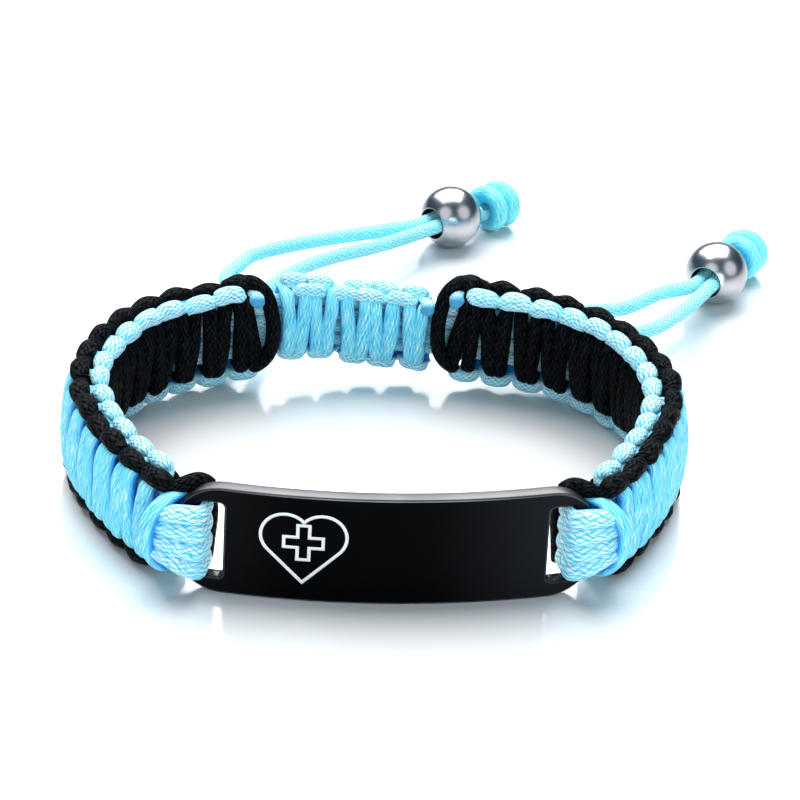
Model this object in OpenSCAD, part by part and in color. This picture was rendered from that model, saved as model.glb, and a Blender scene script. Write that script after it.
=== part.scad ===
// Medical alert bracelet: a curved steel plate between two woven cord bands that meet in a sliding knot.
// It lies on its lower edge. X runs along the plate, the plate faces -Y and the wrist axis is Z.

/* [Plate] */
// Length of the plate along its curve
plate_length = 42.4; // [38:0.2:46]
// Height of the plate
plate_height = 12; // [11:0.1:14]
// Thickness of the steel
plate_thickness = 1.6; // [1.2:0.1:2]
// Radius of the plate's outer face
plate_radius = 74; // [60:1:110]
// Radius of the plate's rounded corners
plate_corner = 5; // [4:0.1:5.5]
// Width of each slot along the curve
slot_width = 2.7; // [2.6:0.1:3]
// Height of each slot
slot_height = 8.4; // [8.2:0.1:9]
// Radius of the slot's corners
slot_corner = 0.5; // [0.2:0.1:1]
// Steel left between a slot and the end of the plate
end_bar_width = 2.4; // [2:0.1:2.8]

/* [Emblem] */
// Width of the engraved heart
emblem_width = 8.8; // [6:0.2:9.4]
// Distance of the heart from the plate's centre, towards the left
emblem_offset = 8.2; // [6:0.2:10]
// Width of the engraved lines
emblem_line = 0.34; // [0.2:0.02:0.5]
// Depth of the engraving
emblem_depth = 0.12; // [0.05:0.01:0.3]
// Length of the plus sign's bars
plus_length = 4.2; // [3:0.1:5]
// Width of the plus sign's bars
plus_width = 1.5; // [1:0.1:2]

/* [Wrist loop] */
// Width of the loop between the middles of the two bands
loop_width = 59.6; // [58:0.2:66]
// Depth of the loop from the plate's middle layer to the closure's middle
loop_depth = 46; // [44:0.2:52]
// Lean of the bands half way round, their lower edges outward
band_lean = 2; // [0:0.5:4]

/* [Weave] */
// Distance between neighbouring knots along a band
knot_pitch = 1.9; // [1.85:0.01:2.1]
// Height of a woven band over its bumps
band_height = 11.8; // [11.4:0.1:12.4]
// Thickness of a working cord where it lies flat as a bar
bar_thickness = 1.4; // [1.2:0.05:1.45]
// Thickness of one layer of core cords
core_thickness = 0.94; // [0.8:0.02:1]
// Clearance between neighbouring cords
cord_gap = 0.08; // [0.06:0.01:0.12]

/* [Closure] */
// Number of knots in the sliding closure
closure_knots = 10; // [8:2:10]
// Distance between the closure's knots
closure_pitch = 1.7; // [1.66:0.01:1.76]
// Height of the closure over its bumps
closure_height = 9.4; // [9.2:0.1:9.8]
// Height of the closure's middle above the surface
closure_middle = 6; // [5.6:0.1:6.4]
// Distance of the closure's middle from the loop's middle, towards the left
closure_offset = 1.4; // [0:0.1:2]
// Gap between the closure and each band, where the pull cords pass
closure_gap = 1.9; // [1.9:0.1:2.4]

/* [Pull cords and beads] */
// Diameter of a pull cord
tail_diameter = 1.6; // [1.4:0.05:1.6]
// Diameter of a bead
bead_diameter = 7; // [6:0.1:8]
// Diameter of a bead's bore
bead_bore = 3.6; // [3.4:0.1:4]
// Outer diameter of an end knot
knot_diameter = 5; // [4.6:0.1:5.4]
// Width of the flattened cord in an end knot
knot_cord = 1.8; // [1.6:0.05:1.9]

/* [Hidden] */
$fn = 96;
steel = [0.08, 0.08, 0.09];
bright_steel = [0.75, 0.76, 0.78];
blue = [0.30, 0.75, 0.95];
black = [0.06, 0.06, 0.07];
overcut = 1;

// Plan of the loop

// The plate's middle layer is an arc whose lowest point is half the loop's depth in front of the centre
middle_radius = plate_radius - plate_thickness / 2;
plate_centre_y = middle_radius - loop_depth / 2;
function turn(length, radius) = length / radius * 180 / PI;
// Point on the plate: distance along its curve from the middle, offset outward, height
function plate_point(s, o, z) = let (a = turn(s, middle_radius))
    [(middle_radius + o) * sin(a), plate_centre_y - (middle_radius + o) * cos(a), z];

// Half the thickness of a core cord where it turns round an end bar
turn_half_thickness = core_thickness * 0.58;

// Each band starts at the middle of an end bar and follows three arcs to the middle of the back
end_bar_place = plate_length / 2 - end_bar_width / 2;
start = plate_point(end_bar_place, 0, 0);
// Headings of the band at the plate, after the first arc and after the second
heading = [48, 74, 158, 180];
// The radii of the three arcs follow from the loop's width and depth
function arc_x(i) = sin(heading[i + 1]) - sin(heading[i]);
function arc_y(i) = cos(heading[i]) - cos(heading[i + 1]);
widest = 1 - sin(heading[1]);
// The widest point fixes the first radius as reach - share * second radius
reach_1 = (loop_width / 2 - start[0]) / arc_x(0);
share_1 = widest / arc_x(0);
// The middle of the back at x = 0 fixes the third radius in the same way
reach_3 = (start[0] + reach_1 * arc_x(0)) / -arc_x(2);
share_3 = (share_1 * arc_x(0) - arc_x(1)) / -arc_x(2);
radius_2 = (loop_depth / 2 - start[1] - reach_1 * arc_y(0) - reach_3 * arc_y(2))
    / (arc_y(1) - share_1 * arc_y(0) - share_3 * arc_y(2));
radii = [reach_1 - share_1 * radius_2, radius_2, reach_3 - share_3 * radius_2];
function arc_length(i) = radii[i] * (heading[i + 1] - heading[i]) * PI / 180;
lengths = [arc_length(0), arc_length(1), arc_length(2)];
half_loop = lengths[0] + lengths[1] + lengths[2];
joint_1 = [start[0] + radii[0] * arc_x(0), start[1] + radii[0] * arc_y(0)];
joint_2 = [joint_1[0] + radii[1] * arc_x(1), joint_1[1] + radii[1] * arc_y(1)];
joints = [[start[0], start[1]], joint_1, joint_2];
// Which arc holds a distance u from the end bar
function arc_of(u) = u < lengths[0] ? 0 : u < lengths[0] + lengths[1] ? 1 : 2;
function arc_start(i) = i == 0 ? 0 : i == 1 ? lengths[0] : lengths[0] + lengths[1];
function heading_at(u) = let (i = arc_of(u)) heading[i] + turn(u - arc_start(i), radii[i]);
function plan_at(u) = let (i = arc_of(u), h = heading_at(u))
    [joints[i][0] + radii[i] * (sin(h) - sin(heading[i])), joints[i][1] + radii[i] * (cos(heading[i]) - cos(h))];
// Lean at u: none at either end of the band, most in its middle
function lean_at(u, lean) = lean * sin(min(180, max(0, 180 * u / half_loop)));
// Directions on the right half: outward across the band and upward along its height, both leaning
function outward_at(u, lean) = let (h = heading_at(u), t = lean_at(u, lean))
    [sin(h) * cos(t), -cos(h) * cos(t), sin(t)];
function upward_at(u, lean) = let (h = heading_at(u), t = lean_at(u, lean))
    [-sin(h) * sin(t), cos(h) * sin(t), cos(t)];
// Point on the right half of the loop: along, across (outward) and up from the middle height
function loop_point(u, w, v, middle, lean) = let (p = plan_at(u))
    [p[0], p[1], middle] + w * outward_at(u, lean) + v * upward_at(u, lean);
function mirrored(p, side) = [side * p[0], p[1], p[2]];

// Swept cords

function unit(v) = v / norm(v);
// A cord is a list of rings: [centre, direction away from what it lies on, half width, half thickness]
function ring_direction(rings, i) = unit(rings[min(i + 1, len(rings) - 1)][0] - rings[max(i - 1, 0)][0]);
function ring_points(rings, i, sides) = let (
    along = ring_direction(rings, i),
    side_way = unit(cross(along, rings[i][1])),
    away = cross(side_way, along))
    [for (j = [0 : sides - 1]) let (a = 360 * (j + 0.5) / sides)
        rings[i][0] + rings[i][2] * cos(a) * side_way + rings[i][3] * sin(a) * away];
function swept_faces(count, sides) = concat(
    [[for (j = [0 : sides - 1]) j]],
    [[for (j = [sides - 1 : -1 : 0]) (count - 1) * sides + j]],
    [for (i = [0 : count - 2], j = [0 : sides - 1]) let (
        a = i * sides + j, b = i * sides + (j + 1) % sides)
        each [[a, a + sides, b + sides], [a, b + sides, b]]]);
module swept(rings, sides, side = 1) {
    points = [for (i = [0 : len(rings) - 1]) each [for (p = ring_points(rings, i, sides)) mirrored(p, side)]];
    faces = swept_faces(len(rings), sides);
    polyhedron(points, side < 0 ? faces : [for (f = faces) [for (j = [len(f) - 1 : -1 : 0]) f[j]]]);
}

// The weave: square knots of two cords round a core

weave_sides = 6;
// Shares of the knot pitch: how far a cord leaves the middle of its knot, and its half widths
crossing_share = 0.25;
shoulder_share = 0.17;
crossing_width = 0.19;
shoulder_width = 0.26;
bar_width = 0.44;
// Half thicknesses at a crossing, a shoulder and a bump, and the half width of a bump
crossing_thickness = 0.42;
shoulder_thickness = 0.42;
bump_thickness = 0.6;
bump_width = 0.8;
// Heights above the core of a shoulder, a crossing and a bump
shoulder_rise = 0.35;
crossing_rise = 1;
bump_rise = 1.9;
// Distances across the band: a shoulder outside the core, a bump from the middle
shoulder_out = 0.5;
bump_across = 1.05;

// A weave is [core half height, core half thickness, scale of heights, scale across, middle height, lean]
function half_of(w) = w[0];
function depth_of(w) = w[1];
function rise_of(w) = w[2];
function across_of(w) = w[3];
function ring_at(weave, u, w, v, away_w, away_v, half_width, half_thickness) =
    [loop_point(u, w, v, weave[4], weave[5]),
        unit(away_w * outward_at(u, weave[5]) + away_v * upward_at(u, weave[5])), half_width, half_thickness];
// end is 1 at the core's top and -1 at its bottom
function crossing_ring(weave, u, w, end, pitch) = ring_at(weave, u, w, end * (half_of(weave)
    + crossing_rise * rise_of(weave)), 0, end, crossing_width * pitch, crossing_thickness * rise_of(weave));
function shoulder_ring(weave, u, face, end, pitch) = ring_at(weave, u,
    face * (depth_of(weave) + shoulder_out * across_of(weave)),
    end * (half_of(weave) + shoulder_rise * rise_of(weave)), 0.6 * face, 0.8 * end,
    shoulder_width * pitch, shoulder_thickness * rise_of(weave));
function bump_ring(weave, u, face, end) = ring_at(weave, u, -face * bump_across * across_of(weave),
    end * (half_of(weave) + bump_rise * rise_of(weave)), -0.2 * face, end,
    bump_width * across_of(weave), bump_thickness * rise_of(weave));
// Bars inside a bend lie closer together than those outside it
function bar_crowding(u, w) = min(1, 1 + w / radii[arc_of(u)]);
function bar_ring(weave, u, face, pitch) = let (
    half_thickness = bar_thickness * across_of(weave) / 2,
    w = face * (depth_of(weave) + 2 * cord_gap + half_thickness))
    ring_at(weave, u, w, 0, face, 0, bar_width * pitch * bar_crowding(u, w), half_thickness);
// One knot: a crossing, a shoulder, the bar, a shoulder and a crossing. The cord runs towards end.
function knot_rings(weave, u, face, end, step) = let (pitch = abs(step))
    [crossing_ring(weave, u + crossing_share * step, 0, -end, pitch),
    shoulder_ring(weave, u + shoulder_share * step, face, -end, pitch),
    bar_ring(weave, u, face, pitch),
    shoulder_ring(weave, u - shoulder_share * step, face, end, pitch),
    crossing_ring(weave, u - crossing_share * step, 0, end, pitch)];
function end_of(k, face) = (k % 2 == 0 ? -1 : 1) * face;
// Knots first to last of one working cord. face is 1 where its bars lie outside, -1 where inside.
// After each knot but the last, a bump over the other cord leads to the next knot.
function weave_rings(weave, face, first, last, start_u, step) =
    [for (k = [first : last]) let (u = start_u + k * step, end = end_of(k, face))
        each concat(knot_rings(weave, u, face, end, step),
            k == last ? [] : [bump_ring(weave, u, face, end), bump_ring(weave, u + step, face, end)])];

// Bands

band_middle = band_height / 2;
band_weave = [band_middle - bump_rise - bump_thickness, core_thickness + cord_gap / 2, 1, 1,
    band_middle, band_lean];
// The outermost knot lies this far from the end bar's middle, and the innermost this far from the band's end
first_knot = 3.2;
last_knot = 0.9;
closure_half = (closure_knots - 1) * closure_pitch / 2 + last_knot;
function band_length(side) = half_loop + side * closure_offset - closure_half - closure_gap;
function knots_in(side) = 2 * round(band_length(side) / (2 * knot_pitch));
function knot_step(side) = -(band_length(side) - first_knot - last_knot) / (knots_in(side) - 1);
function band_start(side) = band_length(side) - last_knot;

// Knots are counted from the closure's end of the band towards the plate.
// The last bar of the blue cord leans over to the plate's end at its top.
lean_over = 0.45;
blue_end_u = 1.5;
blue_end_w = -1.1;
blue_end_rise = 1.15;
blue_end_width = 0.4;
blue_end_thickness = 0.34;
function blue_rings(side) = let (
    last = knots_in(side) - 1,
    step = knot_step(side),
    whole = weave_rings(band_weave, 1, 0, last, band_start(side), step),
    kept = len(whole) - 2)
    concat([for (i = [0 : kept - 1]) whole[i]],
        [shoulder_ring(band_weave, first_knot - lean_over, 1, 1, -step),
        ring_at(band_weave, blue_end_u, blue_end_w, band_weave[0] + blue_end_rise, 0, 1, blue_end_width,
            blue_end_thickness)]);

module blue_cord(side) {
    color(blue) swept(blue_rings(side), weave_sides, side);
}

// The last bar of the black cord lies behind the plate's end bar, where the slot shows it
behind_place = end_bar_place - 2.2;
behind_offset = -plate_thickness / 2 - cord_gap - 2 * turn_half_thickness - 2 * cord_gap - bar_thickness / 2;
behind_half_height = 2.4;
behind_end = 4;
// Its last bump clears the plate's rounded corner, beside it and then behind it
corner_u = 1.1;
corner_w = 0.1;
corner_rise = 1.7;
corner_half_width = 0.6;
corner_place = end_bar_place - 1.4;
corner_offset = -plate_thickness / 2 - 1.6;
corner_height = 5.02;
function behind_ring(place, offset, height, half_width, half_thickness) = let (
    p = plate_point(place, offset, height),
    q = plate_point(place, offset - 1, height))
    [p, q - p, half_width, half_thickness];
function black_rings(side) = let (
    last = knots_in(side) - 1,
    step = knot_step(side),
    up = plate_height / 2)
    concat(weave_rings(band_weave, -1, 0, last - 1, band_start(side), step),
        [bump_ring(band_weave, first_knot - step, -1, 1),
        bump_ring(band_weave, first_knot - 0.4, -1, 1),
        ring_at(band_weave, corner_u, corner_w, band_weave[0] + corner_rise, 0, 1, corner_half_width,
            crossing_thickness),
        behind_ring(corner_place, corner_offset, up + corner_height, corner_half_width, crossing_thickness),
        behind_ring(behind_place, behind_offset, up + behind_half_height, bar_width * knot_pitch,
            bar_thickness / 2),
        behind_ring(behind_place, behind_offset, up - behind_half_height, bar_width * knot_pitch,
            bar_thickness / 2),
        behind_ring(behind_place, behind_offset, up - behind_end, corner_half_width, 0.5)]);

module black_cord(side) {
    color(black) swept(black_rings(side), weave_sides, side);
}

// Core cords: each lies along the band's outer half, passes over the end bar and through the slot,
// and lies back along the band's inner half

core_sides = 5;
core_count = 4;
core_step = 2 * band_weave[0] / core_count;
core_half_width = core_step / 2 - cord_gap / 2;
turn_step = (slot_height - 2 * cord_gap) / core_count;
turn_half_width = turn_step / 2 - cord_gap / 2;
turn_offset = plate_thickness / 2 + cord_gap + turn_half_thickness;
slot_place = plate_length / 2 - end_bar_width - slot_width / 2;
turn_place = plate_length / 2 - end_bar_width - cord_gap - turn_half_thickness;
core_first = first_knot - 0.6;
core_layer = core_thickness / 2 + cord_gap / 4;
// Distances along the band of a core cord's rings, closer together where the band bends most
function core_stations(side) = concat(
    [for (t = [0 : 2]) core_first + (lengths[0] - core_first) * t / 3],
    [for (t = [0 : 7]) lengths[0] + lengths[1] * t / 8],
    [for (t = [0 : 2]) let (bend_end = lengths[0] + lengths[1]) bend_end
        + (band_length(side) - core_short - bend_end) * t / 2]);
// How far a core cord ends before the end of its band
core_short = 0.3;
function core_level(i) = i - (core_count + 1) / 2;
function core_ring(u, w, i) = ring_at(band_weave, u, w, core_level(i) * core_step, sign(w), 0,
    core_half_width, core_thickness / 2);
function turn_ring(s, o, away_s, away_o, i) = let (
    p = plate_point(s, o, plate_height / 2 + core_level(i) * turn_step),
    q = plate_point(s + away_s, o + away_o, p[2]))
    [p, unit(q - p), turn_half_width, turn_half_thickness];
function core_rings(i, side) = let (stations = core_stations(side), last = len(stations) - 1)
    concat(
        [for (k = [last : -1 : 0]) core_ring(stations[k], core_layer, i)],
        [turn_ring(plate_length / 2 + turn_half_thickness, plate_thickness / 2 + 0.5, 0.7, 0.7, i),
        turn_ring(end_bar_place + 0.6, turn_offset, 0, 1, i),
        turn_ring(turn_place + turn_half_thickness / 2, turn_offset + 0.02, 0, 1, i),
        turn_ring(turn_place, plate_thickness / 2 - 0.1, -0.7, 0.5, i),
        turn_ring(turn_place, -plate_thickness / 2 + 0.1, -0.7, -0.5, i),
        turn_ring(turn_place + turn_half_thickness / 2, -turn_offset - 0.02, 0, -1, i),
        turn_ring(end_bar_place + 0.5, -turn_offset, 0, -1, i)],
        [for (u = stations) core_ring(u, -core_layer, i)]);

module core_cord(i, side) {
    color(blue) swept(core_rings(i, side), core_sides, side);
}

// Plate

// The heart has two lobes of a circle and two straight sides that meet in its tip. Its origin is halfway
// between the middles of the circles.
heart_lobe = emblem_width / (2 + sqrt(2));
heart_steps = 14;
// Height by which the heart rises to stand centred, from its tip below and its lobes above
emblem_rise = heart_lobe * (1.5 * sqrt(2) - 1) / 2;
plus_drop = 0.7;

// Points of the heart's right half, from the tip round the lobe to the notch
function half_heart(lobe, place) = let (low = -45, notch = acos(-place / lobe))
    concat([[0, -place - lobe * sqrt(2)]],
        [for (i = [0 : heart_steps]) let (a = low + (notch - low) * i / heart_steps)
            [place + lobe * cos(a), lobe * sin(a)]]);
module heart(inset) {
    right = half_heart(heart_lobe - inset, heart_lobe / sqrt(2));
    polygon(concat(right, [for (i = [len(right) - 2 : -1 : 1]) [-right[i][0], right[i][1]]]));
}

module plus(inset) {
    square([plus_length - 2 * inset, plus_width - 2 * inset], center = true);
    square([plus_width - 2 * inset, plus_length - 2 * inset], center = true);
}

module emblem() {
    difference() {
        heart(0);
        heart(emblem_line);
    }
    translate([0, -plus_drop]) difference() {
        plus(0);
        plus(emblem_line);
    }
}

// Stands a flat outline up at a place along the plate and extends it through the steel
module through_plate(s, depth_in, depth_out) {
    translate([0, plate_centre_y, plate_height / 2]) rotate([0, 0, turn(s, middle_radius)])
        translate([0, -plate_radius - depth_out, 0]) rotate([-90, 0, 0]) mirror([0, 1, 0])
            linear_extrude(depth_in + depth_out) children();
}

module rounded_slot() {
    for (x = [-1, 1], y = [-1, 1])
        translate([x * (slot_width / 2 - slot_corner), y * (slot_height / 2 - slot_corner)])
            circle(slot_corner);
    square([slot_width, slot_height - 2 * slot_corner], center = true);
    square([slot_width - 2 * slot_corner, slot_height], center = true);
}

// The curved wall of the plate between two radii, going on past its ends by an angle
module plate_wall(inner, outer, spare) {
    half_angle = turn(plate_length / 2, middle_radius) + spare;
    translate([0, plate_centre_y, 0]) rotate([0, 0, -90 - half_angle])
        rotate_extrude(angle = 2 * half_angle, $fn = 360)
            translate([inner, 0]) square([outer - inner, plate_height]);
}

// A corner's arc cuts the plate's edges at this depth, so that it crosses them
corner_bite = 0.04;
// What is cut away to round a corner, for a corner at the upper right
module corner_waste() {
    difference() {
        square(plate_corner + overcut);
        circle(plate_corner);
    }
}

module id_plate() {
    round_place = plate_length / 2 - plate_corner - corner_bite;
    round_height = plate_height / 2 - plate_corner - corner_bite;
    color(steel) difference() {
        plate_wall(plate_radius - plate_thickness, plate_radius, 0);
        for (x = [-1, 1], z = [-1, 1])
            through_plate(x * round_place, plate_thickness + overcut, overcut)
                translate([0, z * round_height]) mirror([x < 0 ? 1 : 0, 0]) mirror([0, z < 0 ? 1 : 0])
                    corner_waste();
        for (x = [-1, 1]) through_plate(x * slot_place, plate_thickness + overcut, overcut) rounded_slot();
        intersection() {
            plate_wall(plate_radius - emblem_depth, plate_radius + overcut, 1);
            through_plate(-emblem_offset, plate_thickness, overcut) translate([0, emblem_rise]) emblem();
        }
    }
}

// Closure: a short weave round the four pull cords

tail_count = 4;
tail_half_height = tail_diameter / 2 * 0.93;
tail_step = 2 * tail_half_height + cord_gap;
closure_core_half = tail_count * tail_step / 2;
closure_across = 0.8;
closure_weave = [closure_core_half, tail_diameter / 2 + cord_gap / 2,
    (closure_height / 2 - closure_core_half) / (bump_rise + bump_thickness), closure_across,
    closure_middle, 0];
closure_u = half_loop + closure_offset;
closure_start = closure_u - (closure_knots - 1) * closure_pitch / 2;

module closure_cord(face) {
    color(blue) swept(weave_rings(closure_weave, face, 0, closure_knots - 1, closure_start, closure_pitch),
        weave_sides);
}

// Pull cords: each leaves a band's end, passes through the closure, turns outward in the gap at its
// other end and runs freely to a bead and a knot

tail_sides = 8;
// Points of the free runs: X, distance behind the loop's back, height
left_run_1 = [[-13.4, 4.4, 7.2], [-15, 9, 7], [-13.5, 13, 6.6], [-12, 16, 6.3], [-9, 18.6, 6],
    [-3, 23.2, 5], [2.8, 26.4, 4.4]];
left_run_2 = [[-12, 5, 5], [-10.5, 10, 5.2], [-7, 15.2, 5], [-3, 20, 4.2], [3, 24.2, 3.8]];
right_run_1 = [[11, 4, 7], [16, 5.5, 6], [22.5, 5.5, 5.6], [28.5, 7.5, 5], [33.4, 12.5, 4.4]];
right_run_2 = [[11, 3.4, 5], [17, 3.5, 4.8], [24, 1.6, 4.7], [30.6, 3, 4.6], [35.5, 9, 4]];
// Places of the beads and the directions in which the cords pass through them
left_bead_place = [11.3, 32.2];
left_bead_turn = 40;
right_bead_place = [40.5, 19.4];
right_bead_turn = 59;
knot_reach = 6.7;
wraps = 1.6;
full_turn = 360;
wrap_steps = 19;
wrap_start = 36;
wrap_pitch = 1.9;
wrap_half_width = knot_cord / 2;
wrap_half_thickness = knot_cord / 3;
knot_half_length = wraps * wrap_pitch / 2 + wrap_half_width + 0.1;
knot_middle = knot_diameter / 2;

function free_point(p) = [p[0], loop_depth / 2 + p[1], p[2]];
function bead_centre(place) = free_point([place[0], place[1], bead_diameter / 2]);
function tail_ring(p, half_width, half_height) = [p, [0, 0, 1], half_width, half_height];
function closure_point(u, w, level) = loop_point(u, w, (level - (tail_count + 1) / 2) * tail_step,
    closure_middle, 0);
function held_ring(u, w, level) = tail_ring(closure_point(u, w, level), tail_diameter / 2, tail_half_height);
// Rings through the closure; exit is 1 where the cord leaves at the closure's left end
function held_rings(level, exit) = let (
    reach = closure_half + closure_gap,
    gap_u = closure_half + closure_gap / 2)
    concat([for (t = [-1, -0.9, -0.5, -0.1, 0.3, 0.6]) held_ring(closure_u + exit * t * (reach - 0.1), 0, level)],
        [held_ring(closure_u + exit * (gap_u - 1.1), 0, level),
        held_ring(closure_u + exit * (gap_u - 0.35), 0.3, level),
        held_ring(closure_u + exit * gap_u, 1.1, level),
        held_ring(closure_u + exit * gap_u, 2.6, level)]);
// Rings through a bead and its knot; hand is 1 for the cord on the left of the pair
function bead_point(place, turned, reach, hand, aside, height) = bead_centre(place)
    + [reach * cos(turned) - hand * aside * sin(turned), reach * sin(turned) + hand * aside * cos(turned),
        height - bead_diameter / 2];
bead_aside = tail_diameter / 2 + cord_gap / 2;
squeezed = 0.55;
squeezed_height = 0.64;
function bead_rings(place, turned, hand) = [
    tail_ring(bead_point(place, turned, -bead_diameter / 2 - 0.6, hand, bead_aside, bead_diameter / 2),
        tail_diameter / 2, tail_diameter / 2),
    tail_ring(bead_point(place, turned, bead_diameter / 2 - 0.4, hand, bead_aside, bead_diameter / 2),
        tail_diameter / 2, tail_diameter / 2),
    tail_ring(bead_point(place, turned, knot_reach - knot_half_length, hand, squeezed + cord_gap / 2, knot_middle),
        squeezed, squeezed_height),
    tail_ring(bead_point(place, turned, knot_reach + knot_half_length + 0.2, hand, squeezed + cord_gap / 2,
        knot_middle), squeezed, squeezed_height)];

module tail_cord(level, exit, run, place, turned, hand) {
    free = [for (p = run) tail_ring(free_point(p), tail_diameter / 2, tail_diameter / 2)];
    color(blue) swept(concat(held_rings(level, exit), free, bead_rings(place, turned, hand)), tail_sides);
}

module bead(place, turned) {
    color(bright_steel) translate(bead_centre(place)) rotate([0, 90, turned]) difference() {
        sphere(d = bead_diameter);
        cylinder(d = bead_bore, h = 2 * bead_diameter, center = true);
    }
}

// An end knot is a little over one and a half turns of cord round the pair
knot_sides = 6;
function wrap_rings(place, turned) = let (radius = knot_diameter / 2 - wrap_half_thickness)
    [for (i = [0 : wrap_steps]) let (
        a = wrap_start + full_turn * wraps * i / wrap_steps,
        reach = knot_reach + wrap_pitch * wraps * (i / wrap_steps - 0.5),
        p = bead_point(place, turned, reach, 1, radius * cos(a), knot_middle + radius * sin(a)),
        middle = bead_point(place, turned, reach, 1, 0, knot_middle))
        [p, unit(p - middle), wrap_half_width, wrap_half_thickness]];

module end_knot(place, turned) {
    color(blue) swept(wrap_rings(place, turned), knot_sides);
}

id_plate();
core_cord(1, -1);  // left_core_cord_1
core_cord(2, -1);  // left_core_cord_2
core_cord(3, -1);  // left_core_cord_3
core_cord(4, -1);  // left_core_cord_4
core_cord(1, 1);  // right_core_cord_1
core_cord(2, 1);  // right_core_cord_2
core_cord(3, 1);  // right_core_cord_3
core_cord(4, 1);  // right_core_cord_4
blue_cord(-1);  // left_blue_cord
blue_cord(1);  // right_blue_cord
black_cord(-1);  // left_black_cord
black_cord(1);  // right_black_cord
closure_cord(1);  // closure_outer_cord
closure_cord(-1);  // closure_inner_cord
tail_cord(3, 1, left_run_1, left_bead_place, left_bead_turn, 1);  // left_tail_cord_1
tail_cord(1, 1, left_run_2, left_bead_place, left_bead_turn, -1);  // left_tail_cord_2
tail_cord(4, -1, right_run_1, right_bead_place, right_bead_turn, 1);  // right_tail_cord_1
tail_cord(2, -1, right_run_2, right_bead_place, right_bead_turn, -1);  // right_tail_cord_2
bead(left_bead_place, left_bead_turn);  // left_bead
bead(right_bead_place, right_bead_turn);  // right_bead
end_knot(left_bead_place, left_bead_turn);  // left_end_knot
end_knot(right_bead_place, right_bead_turn);  // right_end_knot
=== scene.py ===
"""Looks of the medical alert bracelet: woven cord bands, engraved plate, pull cords and beads.

Sizes are in millimetres and repeat those of the part's source. Meshes are written in metres.
"""

from __future__ import annotations

import logging
import math
from dataclasses import dataclass, field
from enum import Enum
from functools import reduce
from typing import Callable

import bmesh
import bpy
import numpy as np
from mathutils import Matrix, Vector
from mathutils.geometry import delaunay_2d_cdt


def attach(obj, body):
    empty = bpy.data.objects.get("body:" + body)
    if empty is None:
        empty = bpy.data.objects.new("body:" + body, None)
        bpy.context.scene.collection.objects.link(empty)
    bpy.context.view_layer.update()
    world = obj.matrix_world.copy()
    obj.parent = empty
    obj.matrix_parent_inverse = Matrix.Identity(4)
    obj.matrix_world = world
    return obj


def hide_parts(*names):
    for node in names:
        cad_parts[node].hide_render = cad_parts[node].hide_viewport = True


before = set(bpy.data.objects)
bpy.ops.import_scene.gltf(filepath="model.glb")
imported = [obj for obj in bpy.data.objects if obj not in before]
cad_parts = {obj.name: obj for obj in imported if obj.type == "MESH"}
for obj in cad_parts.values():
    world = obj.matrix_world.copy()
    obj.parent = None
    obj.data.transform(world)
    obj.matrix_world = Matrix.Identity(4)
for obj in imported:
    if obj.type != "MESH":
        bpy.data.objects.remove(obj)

log = logging.getLogger("bracelet")
MM = 0.001
UP = np.array([0.0, 0.0, 1.0])
Colour = tuple[float, float, float]
Rows = list[tuple[float, ...]] | np.ndarray


class Named(Enum):
    """Choices whose names go into the names of pieces."""

    @property
    def word(self) -> str:
        """The name in small letters."""
        return self.name.lower()


class Side(Named):
    """Which half of the loop a band is on: the plate's left or right end, seen from the front."""

    LEFT = -1
    RIGHT = 1


class Face(Named):
    """The face of a weave on which a working cord lies as bars."""

    OUTER = 1
    INNER = -1


class Slot(Enum):
    """Material slots of the record."""

    PLATE = "plate"
    BEAD = "bead"
    BLUE = "blue_cord"
    BLACK = "black_cord"


# Array and object helpers


def unit(vectors: np.ndarray) -> np.ndarray:
    """Vectors along the last axis scaled to length one."""
    return vectors / np.maximum(np.linalg.norm(vectors, axis=-1, keepdims=True), 1e-12)


def stacked(*parts: np.ndarray) -> np.ndarray:
    """Arrays of one shape side by side along a new last axis."""
    return np.stack(parts, axis=-1)


def circle(angle: np.ndarray) -> np.ndarray:
    """Points of the unit circle at angles in radians."""
    return stacked(np.cos(angle), np.sin(angle))


def running(steps: np.ndarray) -> np.ndarray:
    """The sum of the steps before each place, from 0."""
    return np.concatenate([[0.0], np.cumsum(steps)])


def arc_lengths(points: np.ndarray) -> np.ndarray:
    """Distance along a polyline at each of its points, from 0."""
    return running(np.linalg.norm(np.diff(points, axis=0), axis=1))


def ring_quads(rings: int, sides: int, closed: bool = False) -> tuple[np.ndarray, np.ndarray, np.ndarray]:
    """Quads between neighbouring rings of points that are numbered ring by ring.

    Args:
        rings: number of rings.
        sides: points in each ring.
        closed: whether quads also join the last ring to the first.

    Returns:
        The ring number and the side number of every quad as grids, and (n, 4) corner indices.
    """
    i, j = np.meshgrid(np.arange(rings if closed else rings - 1), np.arange(sides), indexing="ij")
    n, k = (i + 1) % rings, (j + 1) % sides
    quads = stacked(i * sides + j, n * sides + j, n * sides + k, i * sides + k)
    return i, j, quads.reshape(-1, 4)


def linked(name: str, data: bpy.types.ID) -> bpy.types.Object:
    """A new object with that data, in the scene."""
    made = bpy.data.objects.new(name, data)
    bpy.context.scene.collection.objects.link(made)
    return made


def add_object(name: str, vertices: np.ndarray, faces: list, uv: np.ndarray | None = None) -> bpy.types.Object:
    """Makes a smooth-shaded mesh object at the origin.

    Args:
        name: the piece's name.
        vertices: (n, 3) places in millimetres.
        faces: corner indices of each face, outward side counter-clockwise.
        uv: (corners, 2) texture places in the order of the faces' corners, or None.

    Returns:
        The new object, linked to the scene.
    """
    mesh = bpy.data.meshes.new(name)
    mesh.from_pydata((vertices * MM).tolist(), [], faces)
    if uv is not None:
        layer = mesh.uv_layers.new(name="UVMap")
        layer.uv.foreach_set("vector", uv.astype(np.float32).ravel())
    mesh.polygons.foreach_set("use_smooth", np.ones(len(mesh.polygons), dtype=bool))
    mesh.update()
    return linked(name, mesh)


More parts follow.
